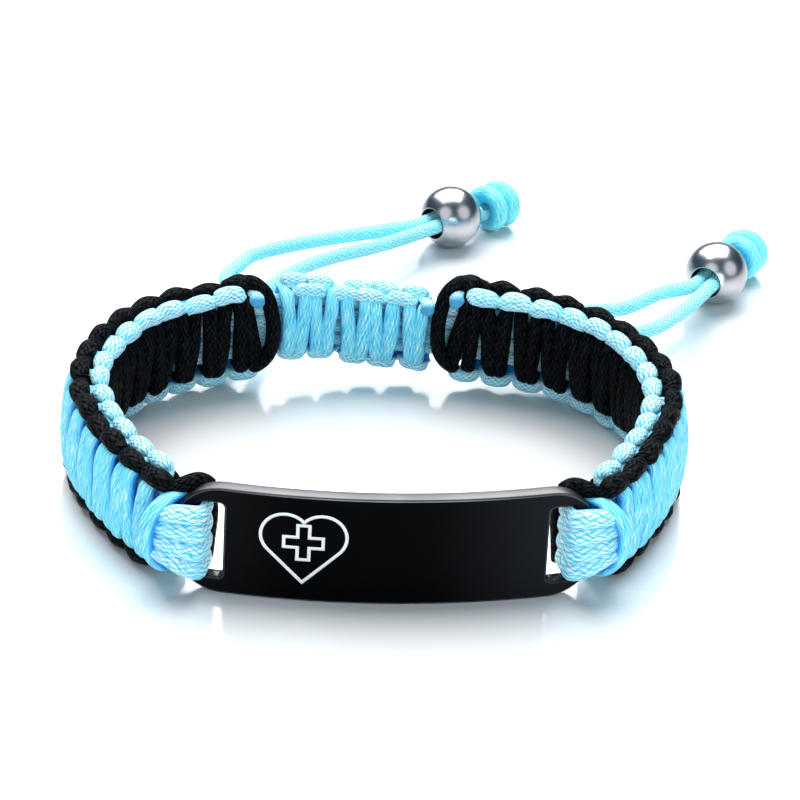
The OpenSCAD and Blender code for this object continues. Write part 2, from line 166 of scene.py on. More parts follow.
@dataclass
class Route:
    """Rings along a cord: centre, direction away from what it lies on, half sizes and braid density.

    The density is 1 where the braid is at rest and less where the cord is pulled long.
    """

    centre: np.ndarray
    away: np.ndarray
    half_width: np.ndarray
    half_thickness: np.ndarray
    density: np.ndarray | float = 1.0

    def __post_init__(self) -> None:
        """Gives every ring a density where one number stands for all."""
        self.density = np.broadcast_to(self.density, len(self.centre)).astype(float)

    def fields(self) -> tuple[np.ndarray, ...]:
        """The five arrays in order."""
        return self.centre, self.away, self.half_width, self.half_thickness, self.density

    def __getitem__(self, part: slice) -> "Route":
        """The rings of a slice."""
        return Route(*(values[part] for values in self.fields()))

    @staticmethod
    def from_rings(rings: list[tuple]) -> "Route":
        """A route from a list of (centre, away, half width, half thickness)."""
        centre, away, wide, thick = (np.array(column, float) for column in zip(*rings))
        return Route(centre, unit(away), wide, thick)

    @staticmethod
    def joined(routes: list["Route"]) -> "Route":
        """Several routes end to end."""
        return Route(*(np.concatenate(parts) for parts in zip(*(r.fields() for r in routes))))

    def on_side(self, side: Side) -> "Route":
        """The route mirrored in X for the left side."""
        flip = np.array([side.value, 1.0, 1.0])
        return Route(self.centre * flip, self.away * flip, *self.fields()[2:])

    def smooth(self, spacing: float, fine: int = 24) -> "Route":
        """Resamples the route evenly along a smooth curve through its rings.

        Each ring is a row of numbers. Between two rings the row follows the cubic whose slopes at
        both ends are the weighted mean of the neighbouring slopes, over a parameter that grows with
        the square root of the distance. The fine samples are then read off at equal distances.

        Args:
            spacing: distance between the new rings in millimetres.
            fine: samples for each stretch before the even reading.

        Returns:
            The new route.
        """
        rows = np.column_stack(self.fields())
        gaps = np.sqrt(np.maximum(np.linalg.norm(np.diff(self.centre, axis=0), axis=1), 1e-4))[:, None]
        slopes = np.diff(rows, axis=0) / gaps
        inner = (slopes[:-1] * gaps[1:] + slopes[1:] * gaps[:-1]) / (gaps[1:] + gaps[:-1])
        tangent = np.concatenate([slopes[:1], inner, slopes[-1:]])
        t = np.linspace(0, 1, fine, endpoint=False)[None, :, None]
        start, end, step = rows[:-1, None, :], rows[1:, None, :], gaps[:, None, :]
        cubic = (
            (2 * t**3 - 3 * t**2 + 1) * start
            + (t**3 - 2 * t**2 + t) * step * tangent[:-1, None, :]
            + (3 * t**2 - 2 * t**3) * end
            + (t**3 - t**2) * step * tangent[1:, None, :]
        )
        dense = np.concatenate([cubic.reshape(-1, rows.shape[1]), rows[-1:]])
        along = arc_lengths(dense[:, :3])
        places = np.linspace(0, along[-1], max(int(along[-1] / spacing), 8) + 1)
        even = np.column_stack([np.interp(places, along, column) for column in dense.T])
        return Route(even[:, :3], unit(even[:, 3:6]), *even[:, 6:].T)

    def rounded_ends(self, bulge: float = 0.6, steps: int = 4) -> "Route":
        """Closes both ends with a few rings that shrink along a quarter of an ellipse.

        Args:
            bulge: how far each end swells out, as a share of its half thickness.
            steps: rings in each quarter.

        Returns:
            The longer route.
        """
        angle = np.linspace(0, math.pi / 2, steps + 2)[1:-1]
        caps = []
        for end, other in ((0, 1), (-1, -2)):
            way = unit(self.centre[end] - self.centre[other])
            reach = bulge * self.half_thickness[end] * np.sin(angle)[:, None]
            wide, thick = self.half_width[end] * np.cos(angle), self.half_thickness[end] * np.cos(angle)
            caps.append(Route(self.centre[end] + reach * way, np.tile(self.away[end], (steps, 1)), wide, thick))
        return Route.joined([caps[0][::-1], self, caps[1]])

    def tube(self, name: str, sides: int, squareness: float = 1.0) -> bpy.types.Object:
        """Skins the route with a closed tube.

        A ring's point at angle a is centre + half width * c(a) * sideways + half thickness * s(a) *
        away, where c and s are cosine and sine raised to the power squareness with their signs kept,
        and sideways is the tangent crossed with away. Texture U is the distance along in
        millimetres times the density, and V the share of a turn. The attribute pull is one minus
        the density.

        Args:
            name: the piece's name.
            sides: points round each ring.
            squareness: 1 for an ellipse, less for a flatter and squarer section.

        Returns:
            The new object.
        """
        tangent = unit(np.gradient(self.centre, axis=0))
        sideways = unit(np.cross(tangent, self.away))
        away = np.cross(sideways, tangent)
        section = circle(2 * math.pi * (np.arange(sides) + 0.5) / sides)
        c, s = (np.sign(section) * np.abs(section) ** squareness).T
        grid = (
            self.centre[:, None, :]
            + self.half_width[:, None, None] * c[None, :, None] * sideways[:, None, :]
            + self.half_thickness[:, None, None] * s[None, :, None] * away[:, None, :]
        )
        count, j0 = len(self.centre), np.arange(sides)
        k0, last, pole = (j0 + 1) % sides, (count - 1) * sides, count * sides
        i, j, quads = ring_quads(count, sides)
        first_fan = stacked(np.full(sides, pole), j0, k0)
        last_fan = stacked(np.full(sides, pole + 1), last + k0, last + j0)
        along = running(np.diff(arc_lengths(self.centre)) * (self.density[1:] + self.density[:-1]) / 2)
        u = stacked(along[i], along[i + 1], along[i + 1], along[i])
        v = stacked(j, j, j + 1, j + 1) / sides
        fan_v = stacked(j0 + 0.5, j0, j0 + 1) / sides
        uv = [
            stacked(u, v),
            stacked(np.zeros((sides, 3)), fan_v),
            stacked(np.full((sides, 3), along[-1]), fan_v[:, [0, 2, 1]]),
        ]
        piece = add_object(
            name,
            np.concatenate([grid.reshape(-1, 3), grid[[0, -1]].mean(axis=1)]),
            quads.tolist() + first_fan.tolist() + last_fan.tolist(),
            np.concatenate([part.reshape(-1, 2) for part in uv]),
        )
        pull = np.concatenate([np.repeat(1 - self.density, sides), 1 - self.density[[0, -1]]])
        piece.data.attributes.new("pull", "FLOAT", "POINT").data.foreach_set("value", pull.astype(np.float32))
        return piece


# Plan of the loop


@dataclass
class LoopPlan:
    """The bracelet seen from above, a curved plate and two bands of three arcs each, and shared sizes."""

    plate_length: float = 42.4
    plate_height: float = 12.0
    plate_thickness: float = 1.6
    plate_radius: float = 74.0
    end_bar_width: float = 2.4
    slot_height: float = 8.4
    loop_width: float = 59.6
    loop_depth: float = 46.0
    headings: tuple[float, float, float, float] = (48.0, 74.0, 158.0, 180.0)
    back_lift: float = 1.0
    back_lean: float = 4.0
    closure_half: float = 8.55
    closure_gap: float = 1.9
    closure_offset: float = 1.4
    cord_gap: float = 0.08
    tail_diameter: float = 1.6
    bead_diameter: float = 7.0

    def __post_init__(self) -> None:
        """Works out the three arcs' radii, so that they reach the loop's width and depth."""
        self.middle_radius = self.plate_radius - self.plate_thickness / 2
        self.plate_centre_y = self.middle_radius - self.loop_depth / 2
        self.end_bar_place = self.plate_length / 2 - self.end_bar_width / 2
        start = self.plate_point(self.end_bar_place, 0.0, 0.0)
        turn = np.radians(self.headings)
        across, back = np.diff(np.sin(turn)), -np.diff(np.cos(turn))
        reach_1 = (self.loop_width / 2 - start[0]) / across[0]
        share_1 = (1 - math.sin(turn[1])) / across[0]
        reach_3 = (start[0] + reach_1 * across[0]) / -across[2]
        share_3 = (share_1 * across[0] - across[1]) / -across[2]
        radius = (self.loop_depth / 2 - start[1] - reach_1 * back[0] - reach_3 * back[2]) / (
            back[1] - share_1 * back[0] - share_3 * back[2]
        )
        self.turns = turn
        self.radii = np.array([reach_1 - share_1 * radius, radius, reach_3 - share_3 * radius])
        lengths = self.radii * np.diff(turn)
        self.arc_starts = running(lengths[:2])
        self.half_loop = float(lengths.sum())
        self.joints = start[:2] + stacked(running((self.radii * across)[:2]), running((self.radii * back)[:2]))

    def plate_point(self, s: np.ndarray | float, o: np.ndarray | float, z: np.ndarray | float) -> np.ndarray:
        """Point at a distance s along the plate from its middle, o outward from its middle layer, z up."""
        s, o, z = np.broadcast_arrays(np.asarray(s, float), np.asarray(o, float), np.asarray(z, float))
        angle = s / self.middle_radius
        radius = self.middle_radius + o
        return stacked(radius * np.sin(angle), self.plate_centre_y - radius * np.cos(angle), z)

    def plate_rings(self, rows: Rows, density: float = 1.0) -> Route:
        """Rings at the plate from rows of (s, o, z, away in s, away in o, half width, half thickness)."""
        s, o, z, away_s, away_o, wide, thick = np.array(rows, float).T
        centre = self.plate_point(s, o, z)
        return Route(centre, unit(self.plate_point(s + away_s, o + away_o, z) - centre), wide, thick, density)

    def arc_of(self, u: np.ndarray) -> np.ndarray:
        """Which arc holds a distance u from the end bar."""
        return np.clip(np.searchsorted(self.arc_starts, u, side="right") - 1, 0, 2)

    def frame_at(self, u: np.ndarray, lean: float) -> tuple[np.ndarray, np.ndarray, np.ndarray]:
        """Plan point, outward direction and upward direction at distances u along the right half.

        The heading grows with the distance over the arc's radius. With e half of one minus the
        cosine of the share of the half loop, the band rises by the back's lift times e, and leans by
        the back's lean times e and the given lean times the share's sine.
        """
        arc = self.arc_of(u)
        radius, turn = self.radii[arc], self.turns[arc]
        heading = turn + (u - self.arc_starts[arc]) / radius
        x = self.joints[arc, 0] + radius * (np.sin(heading) - np.sin(turn))
        y = self.joints[arc, 1] + radius * (np.cos(turn) - np.cos(heading))
        share = math.pi * np.maximum(u / self.half_loop, 0)
        ease = (1 - np.cos(share)) / 2
        tilt = np.radians(lean * np.sin(np.minimum(share, math.pi)) + self.back_lean * ease)
        sine, cosine, flat = np.sin(tilt), np.cos(tilt), stacked(np.sin(heading), -np.cos(heading), 0 * heading)
        outward = flat * cosine[:, None] + sine[:, None] * UP
        upward = cosine[:, None] * UP - flat * sine[:, None]
        return stacked(x, y, self.back_lift * ease), outward, upward


# Weave

# Rows of a knot's table: over the face, the same without the hidden ends, and the bump to the next knot
CROSSING, BAR, BUMP = slice(0, 7), slice(1, 6), slice(8, 11)


@dataclass
class Weave:
    """A chain of square knots round a core, as rings of one working cord."""

    plan: LoopPlan
    core_half_height: float
    core_half_thickness: float
    rise: float
    across: float
    middle: float
    lean: float
    bar_half_thickness: float = 0.72
    bar_half_width: float = 0.58
    bar_end_width: float = 0.50
    outer_density: float = 0.4
    inner_share: float = 0.85
    inner_density: float = 0.75
    bump_ends: tuple[float, float] = (0.44, 0.76)
    bump_rise: float = 1.0
    knot_drift: float = 0.05
    ring_drift: float = 0.02
    width_drift: float = 0.03
    loose: float = 2.0
    pairing: float = 0.09
    inner_pairing: float = 1.3
    slope: float = 0.0
    pivot: float = 0.0
    slope_reach: float = 10.3
    last_spread: float = 0.0
    last_reach: float = 1.6
    last_growth: float = 0.13
    plump: float = 1.0

    def rings(self, rows: Rows, density: float = 1.0) -> Route:
        """Rings from rows of (u, w, v, away in w, away in v, half width, half thickness).

        The distances are u along, w across (outward) and v up from the weave's middle. A sloping
        weave also rises by the slope times the distance from its pivot, which fades out between the
        weave's end and the slope's reach.
        """
        u, w, v, away_w, away_v, half_width, half_thickness = np.array(rows, float).T
        point, outward, upward = self.plan.frame_at(u, self.lean)
        fade = np.clip((self.slope_reach - np.abs(u - self.pivot)) / 2, 0, 1)
        v = v + self.slope * (u - self.pivot) * fade**2 * (3 - 2 * fade)
        centre = point + self.middle * UP + w[:, None] * outward + v[:, None] * upward
        away = unit(away_w[:, None] * outward + away_v[:, None] * upward)
        return Route(centre, away, half_width, half_thickness, density)

    def cord(self, face: Face, count: int, start: float, step: float, seed: int, tilt: float = 0.0) -> Route:
        """Rings of one working cord through its knots, twelve for each knot.

        Every knot is one copy of a table of rings: in under the other cord, over the edge, up the
        bar, over the other edge and out, and then along the edge as a bump to the next knot. The
        table's rows are places along in knot steps, across and up, and half sizes. A small seeded
        unevenness moves the knots, as hand-tied ones are. The last knots also move on by the last
        spread times the exponential of minus their number from the end over the last reach.

        Args:
            face: the face on which the bars lie.
            count: number of knots.
            start: distance along of the first knot.
            step: distance from one knot to the next, negative towards the plate.
            seed: seed of the unevenness.
            tilt: how far the first bar's ends lie from its middle, along the weave.

        Returns:
            The rings.
        """
        rng = np.random.default_rng(seed)
        outer = face is Face.OUTER
        pitch, a, r = abs(step), self.across, self.rise
        half, depth, flat = self.core_half_height, self.core_half_thickness, self.bar_half_thickness
        bar, edge = depth + 2 * self.plan.cord_gap + flat * a, depth + 0.62 * a
        width, edge_width = (
            (1.0 if outer else self.inner_share) * part * pitch for part in (self.bar_half_width, self.bar_end_width)
        )
        thin = self.bump_ends[0 if outer else 1]
        low, high, top = (self.bump_rise * part for part in (0.75 + 0.9 * thin, 1.54, 1.72))
        # along, across, share of the core's half height, rise, away across, away up, half width, half thickness
        table = np.array(
            [
                [0.25, 0.0, -1.0, -0.9 * r, 0.0, -1.0, 0.6 * edge_width, 0.50 * r],
                [0.16, edge, -1.0, -0.50 * r, 0.7, -0.7, edge_width, 0.58 * r],
                [0.10, bar, -0.76, 0.0, 1.0, -0.2, width, flat * a],
                [0.0, bar + 0.08, 0.0, 0.0, 1.0, 0.0, width, (flat + 0.08) * a],
                [-0.10, bar, 0.76, 0.0, 1.0, 0.2, width, flat * a],
                [-0.16, edge, 1.0, 0.50 * r, 0.7, 0.7, edge_width, 0.58 * r],
                [-0.25, 0.0, 1.0, 0.9 * r, 0.0, 1.0, 0.6 * edge_width, 0.50 * r],
                [-0.30, -0.84 * a, 1.0, low * r, -0.5, 1.0, 0.74 * a, thin * r],
                [-0.12, -1.04 * a, 1.0, high * r, -0.4, 1.0, 0.94 * a, 0.74 * r],
                [0.5, -1.06 * a, 1.0, top * r, -0.3, 1.0, 1.02 * a, 0.88 * r],
                [1.12, -1.04 * a, 1.0, high * r, -0.4, 1.0, 0.94 * a, 0.74 * r],
                [1.30, -0.84 * a, 1.0, low * r, -0.5, 1.0, 0.74 * a, thin * r],
            ]
        )
        rows, number = len(table), np.arange(count)
        turns = np.where(number % 2 == 0, 1, -1)
        ends = -turns[:, None] * face.value
        along, w, share, up, away_w, away_v, wide, thick = np.moveaxis(np.repeat(table[None], count, axis=0), -1, 0)
        wobble = self.loose * rng.normal(0, 1, (count, rows, 4))
        knot_wobble = self.loose * rng.normal(0, 1, (count, 1, 3))
        u = start + (number[:, None] + along) * step
        u += self.knot_drift * knot_wobble[..., 0] + self.ring_drift * wobble[..., 0]
        u[:, BAR] += turns[:, None] * (1 if outer else self.inner_pairing) * self.pairing * step
        u[0, CROSSING] += tilt * ends[0] * share[0, CROSSING]
        late = np.exp((number - count + 1 - (not outer)) / self.last_reach)[:, None]
        u = u + np.sign(step) * self.last_spread * late
        w = face.value * (w + self.ring_drift * wobble[..., 1])
        v = ends * (share * half + up * (np.abs(share) >= 1))
        v = v + self.knot_drift * knot_wobble[..., 1] + self.ring_drift * wobble[..., 2]
        crowding = np.minimum(1, 1 + w / self.plan.radii[self.plan.arc_of(u)])
        wide = wide * (1 + self.last_growth * self.last_spread * late) * np.where(np.abs(share) < 1, crowding, 1)
        wide = wide * (1 + self.width_drift * wobble[..., 3])
        thick[:, BUMP] *= self.plump
        columns = (u, w, v, face.value * away_w, ends * away_v, wide, thick)
        route = self.rings(stacked(*columns).reshape(-1, 7))
        density = np.ones(rows)
        density[CROSSING] = self.outer_density if outer else self.inner_density
        route.density = np.tile(density, count)
        return route


# Finishes


class Graph:
    """Writes the shader nodes of one material."""

    def __init__(self, name: str) -> None:
        """Starts a material with a Principled surface."""
        self.material = bpy.data.materials.new(name)
        self.material.use_nodes = True
        self.nodes, self.links = self.material.node_tree.nodes, self.material.node_tree.links
        self.nodes.clear()
        self.surface = self.nodes.new("ShaderNodeBsdfPrincipled")
        output = self.nodes.new("ShaderNodeOutputMaterial")
        self.links.new(self.surface.outputs["BSDF"], output.inputs["Surface"])

    def feed(self, socket: bpy.types.NodeSocket, value: object) -> None:
        """Links a socket to another, or sets its number or colour."""
        if isinstance(value, bpy.types.NodeSocket):
            self.links.new(value, socket)
        else:
            socket.default_value = (*value, 1.0) if isinstance(value, tuple) else value

    def math(self, kind: str, *values: object) -> bpy.types.NodeSocket:
        """A Math node of that kind over numbers or sockets."""
        node = self.nodes.new("ShaderNodeMath")
        node.operation = kind
        for socket, value in zip(node.inputs, values):
            self.feed(socket, value)
        return node.outputs[0]

    def add(self, *values: object) -> bpy.types.NodeSocket:
        """The sum of numbers or sockets."""
        return reduce(lambda first, second: self.math("ADD", first, second), values)

    def times(self, *values: object) -> bpy.types.NodeSocket:
        """The product of numbers or sockets."""
        return reduce(lambda first, second: self.math("MULTIPLY", first, second), values)

    def minus(self, first: object, second: object) -> bpy.types.NodeSocket:
        """The first number or socket less the second."""
        return self.math("SUBTRACT", first, second)

    def mix(self, share: object, first: object, second: object) -> bpy.types.NodeSocket:
        """A blend of two colours by a share."""
        node = self.nodes.new("ShaderNodeMix")
        node.data_type = "RGBA"
        for name, value in ((0, share), (6, first), (7, second)):
            self.feed(node.inputs[name], value)
        return node.outputs[2]

    def between(self, value: object, low: float, high: float) -> bpy.types.NodeSocket:
        """A smooth step of a value from 0 at low to 1 at high."""
        node = self.nodes.new("ShaderNodeMapRange")
        node.interpolation_type = "SMOOTHSTEP"
        for name, number in (("Value", value), ("From Min", low), ("From Max", high)):
            self.feed(node.inputs[name], number)
        return node.outputs["Result"]

    def place(self, kind: str) -> bpy.types.NodeSocket:
        """The texture place of that kind: UV, or Object in metres."""
        return self.nodes.new("ShaderNodeTexCoord").outputs[kind]

    def parts(self, place: bpy.types.NodeSocket) -> tuple[bpy.types.NodeSocket, bpy.types.NodeSocket]:
        """The first two numbers of a place."""
        split = self.nodes.new("ShaderNodeSeparateXYZ")
        self.links.new(place, split.inputs[0])
        return split.outputs[0], split.outputs[1]

    def attribute(self, name: str) -> bpy.types.NodeSocket:
        """A number that the mesh carries at its points."""
        node = self.nodes.new("ShaderNodeAttribute")
        node.attribute_name = name
        return node.outputs["Fac"]

    def noise(self, place: bpy.types.NodeSocket, scale: float, detail: float = 2.0) -> bpy.types.NodeSocket:
        """Noise of that scale over a place."""
        node = self.nodes.new("ShaderNodeTexNoise")
        for name, value in (("Vector", place), ("Scale", scale), ("Detail", detail)):
            self.feed(node.inputs[name], value)
        return node.outputs["Fac"]

    def vector(self, x: object, y: object) -> bpy.types.NodeSocket:
        """A vector put together from two values."""
        node = self.nodes.new("ShaderNodeCombineXYZ")
        for socket, value in zip(node.inputs, (x, y)):
            self.feed(socket, value)
        return node.outputs[0]

    def relief(self, height: bpy.types.NodeSocket, depth: float, strength: float = 1.0) -> None:
        """Bumps the surface by a height from 0 to 1, depth in metres."""
        node = self.nodes.new("ShaderNodeBump")
        for name, value in (("Height", height), ("Distance", depth), ("Strength", strength)):
            self.feed(node.inputs[name], value)
        self.links.new(node.outputs[0], self.surface.inputs["Normal"])

    def set(self, **values: object) -> None:
        """Sets the surface's own sockets, named with underscores for spaces."""
        for name, value in values.items():
            self.feed(self.surface.inputs[name.replace("_", " ")], value)


@dataclass(frozen=True)
class BraidedCord:
    """Braided cord: crossing yarns in a diamond pattern that follows the piece's own texture places."""

    name: str
    # The first colour is painted shade for the braid's valleys and the flanks of pulled cords; the third is a painted
    # highlight.
    crease_shade: Colour
    body: Colour
    light: Colour
    carriers: int = 12
    stitch: float = 0.8
    depth: float = 0.00006
    roughness: float = 0.45
    specular: float = 0.3
    sheen: float = 0.05
    filament: float = 0.8
    streaks: float = 30.0
    slant: float = 3.5
    ease: float = 0.12
    shade_from: float = -0.25
    shade_to: float = 0.75
    drift_scale: float = 700.0
    patch_scale: float = 260.0
    melted: Colour = (0.07, 0.36, 0.62)

    def make(self) -> bpy.types.Material:
        """Builds the material.

        With t the share of a turn times the carriers and s the distance over the stitch length, one
        set of yarns has edges where t + s is whole and the other where t - s is whole. Which set
        lies on top changes every second crossing. The height is a half sine across the upper yarn.
        Where the cord is pulled long, its yarns show less and its flanks are painted with the shade
        colour. Low tones of the braid are painted shade and high tones a painted highlight. The first
        millimetre, where the cord was cut, is melted smooth.
        """
        g = Graph(self.name)
        u, v = g.parts(g.place("UV"))
        drift = g.minus(g.noise(g.place("Object"), self.drift_scale, 1.0), 0.5)
        t = g.add(g.times(v, float(self.carriers)), g.times(drift, 1.1))
        s = g.add(g.math("DIVIDE", u, self.stitch), g.times(drift, 0.9))
        ways = (g.add(t, s), g.minus(t, s))
        cells = g.add(*(g.math("FLOOR", way) for way in ways))
        on_top = g.math("LESS_THAN", g.math("FLOORED_MODULO", cells, 2.0), 0.5)
        ridges = [g.math("SINE", g.times(g.math("FRACT", way), math.pi)) for way in ways]
        upper = g.add(g.times(ridges[0], on_top), g.times(ridges[1], g.minus(1.0, on_top)))
        height = g.add(g.times(upper, 0.75), g.times(*ridges, 0.25))
        slanted = g.add(g.times(v, self.streaks), g.times(u, self.slant))
        threads = g.noise(g.vector(g.times(u, 1.2), slanted), 1.0, 2.0)
        pulled = g.between(g.attribute("pull"), 0.1, 0.5)
        at_rest = g.minus(1.0, pulled)
        # Painted shade on the flanks of pulled cords, set by the angle round the tube.
        turned = g.math("SINE", g.times(v, 2 * math.pi))
        unshaded_share = g.between(g.add(turned, at_rest), self.shade_from, self.shade_to)
        patches = g.noise(g.place("Object"), self.patch_scale, 2.0)
        calm = g.add(height, g.times(pulled, g.minus(0.3, g.times(height, 0.6))))
        # Low tones get the painted shade colour and high tones the painted highlight; parts at rest are lifted towards
        # the highlight, and random patches fade both towards the body colour.
        tone = g.add(calm, g.times(at_rest, self.ease), g.times(g.minus(threads, 0.5), 2 * self.filament))
        low = g.mix(g.between(tone, 0.0, 0.55), self.crease_shade, self.body)
        high = g.mix(g.between(tone, 0.55, 1.0), low, self.light)
        worn = g.mix(g.times(g.between(patches, 0.35, 0.75), 0.35), high, self.body)
        braided = g.mix(unshaded_share, self.crease_shade, worn)
        cut = g.between(g.add(u, g.times(patches, 0.5)), 0.8, 1.2)
        g.set(
            Base_Color=g.mix(cut, self.melted, braided), Roughness=self.roughness,
            Specular_IOR_Level=self.specular, Sheen_Weight=self.sheen, Sheen_Roughness=0.4,
        )
        g.relief(g.times(g.add(height, g.times(threads, 0.3)), cut), self.depth)
        return g.material


@dataclass(frozen=True)
class BrushedMetal:
    """Metal with fine lengthwise scratches and cloudy changes of tone and gloss."""

    name: str
    colour: Colour
    worn: Colour
    metallic: float = 1.0
    roughness: float = 0.3
    spread: float = 0.06
    scratch: float = 0.00001
    specular: float = 0.5
    painted_sheen: Colour | None = None
    painted_sheen_right: tuple[float, float] = (0.002, 0.021)
    painted_sheen_left: tuple[float, float] = (0.008, 0.021)
    left_share: float = 0.35

    def make(self) -> bpy.types.Material:
        """Builds the material: clouds mix the two tones, and stretched noise gives scratches and gloss.

        A painted sheen, a lighter tone where one is given, grows towards the right end, and to the
        left about a third as much.
        """
        g = Graph(self.name)
        place = g.place("Object")
        stretch = g.nodes.new("ShaderNodeMapping")
        stretch.inputs["Scale"].default_value = (60.0, 60.0, 4000.0)
        g.links.new(place, stretch.inputs["Vector"])
        lines = g.noise(stretch.outputs[0], 1.0, 3.0)
        tone = g.mix(g.between(g.noise(place, 140.0, 3.0), 0.3, 0.7), self.colour, self.worn)
        # Painted sheen: a lighter tone towards the plate's ends, where the lamps' reflection would fall.
        if self.painted_sheen is not None:
            x, _ = g.parts(place)
            left = g.times(g.between(g.times(x, -1.0), *self.painted_sheen_left), self.left_share)
            tone = g.mix(g.math("MAXIMUM", g.between(x, *self.painted_sheen_right), left), tone, self.painted_sheen)
        gloss = g.add(self.roughness - self.spread / 2, g.times(lines, self.spread))
        g.set(Base_Color=tone, Metallic=self.metallic, Specular_IOR_Level=self.specular, Roughness=gloss)
        g.relief(lines, self.scratch, 0.4)
        return g.material


def made(recipe: BraidedCord | BrushedMetal) -> bpy.types.Material:
    """A dataclass field that holds the recipe's material, made once."""
    return field(default_factory=recipe.make)


@dataclass
class Finishes:
    """The bracelet's materials."""

    # Each braid's first colour is painted shade for creases and flanks, the second the cord's own colour, the third a
    # painted highlight.
    blue: bpy.types.Material = made(
        BraidedCord("blue_braid", (0.0, 0.32, 0.88), (0.18, 0.82, 1.0), (0.85, 1.0, 1.0))
    )
    core: bpy.types.Material = made(
        BraidedCord("core_braid", (0.0, 0.30, 0.88), (0.22, 0.86, 1.0), (0.95, 1.0, 1.0), carriers=10, stitch=1.0)
    )
    tail: bpy.types.Material = made(
        BraidedCord(
            "cyan_braid", (0.03, 0.50, 0.80), (0.24, 0.94, 1.0), (0.55, 1.0, 1.0), filament=0.5, ease=0.1,
            melted=(0.30, 0.80, 0.95),
        )
    )
    black: bpy.types.Material = made(
        BraidedCord(
            "black_braid", (0.0002, 0.0003, 0.0005), (0.0005, 0.0008, 0.0012), (0.010, 0.014, 0.019), stitch=0.9,
            carriers=10, depth=0.0001, filament=1.1, roughness=0.45, specular=0.035, sheen=0.0, ease=0.0,
            melted=(0.01, 0.01, 0.012),
        )
    )
    # The coating's lighter tone towards its ends is a painted sheen.
    coating: bpy.types.Material = made(
        BrushedMetal(
            "black_coating", (0.0006, 0.0007, 0.0009), (0.0012, 0.0012, 0.0015), 0.0, 0.30, specular=0.02,
            painted_sheen=(0.014, 0.015, 0.018),
        )
    )
    rim: bpy.types.Material = made(BrushedMetal("bare_edge", (0.12, 0.12, 0.125), (0.085, 0.085, 0.09), 1.0, 0.38))
    slot_wall: bpy.types.Material = made(
        BrushedMetal("glossy_coating", (0.004, 0.004, 0.005), (0.008, 0.008, 0.009), 0.0, 0.2)
    )
    engraving: bpy.types.Material = made(
        BrushedMetal("engraved_lines", (0.85, 0.85, 0.86), (0.75, 0.75, 0.77), 0.2, 0.4)
    )
    mirror: bpy.types.Material = made(
        BrushedMetal("mirror_steel", (0.52, 0.52, 0.54), (0.48, 0.48, 0.50), 1.0, 0.26, 0.02, 0.000001)
    )
    # The bore wall is painted dark and bluish as the shade inside the hole.
    bore: bpy.types.Material = made(BrushedMetal("bore_painted_shade", (0.07, 0.10, 0.13), (0.05, 0.07, 0.09), 1.0, 0.35))


def dress(piece: bpy.types.Object, slot: Slot, node: str, *materials: bpy.types.Material) -> None:
    """Gives a piece its materials and body, hides the CAD node that it replaces and logs it."""
    for material in materials:
        piece.data.materials.append(material)
    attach(piece, "root")
    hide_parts(node)
    log.info("%s: %d faces, stands for %s", piece.name, len(piece.data.polygons), node)


# Pieces


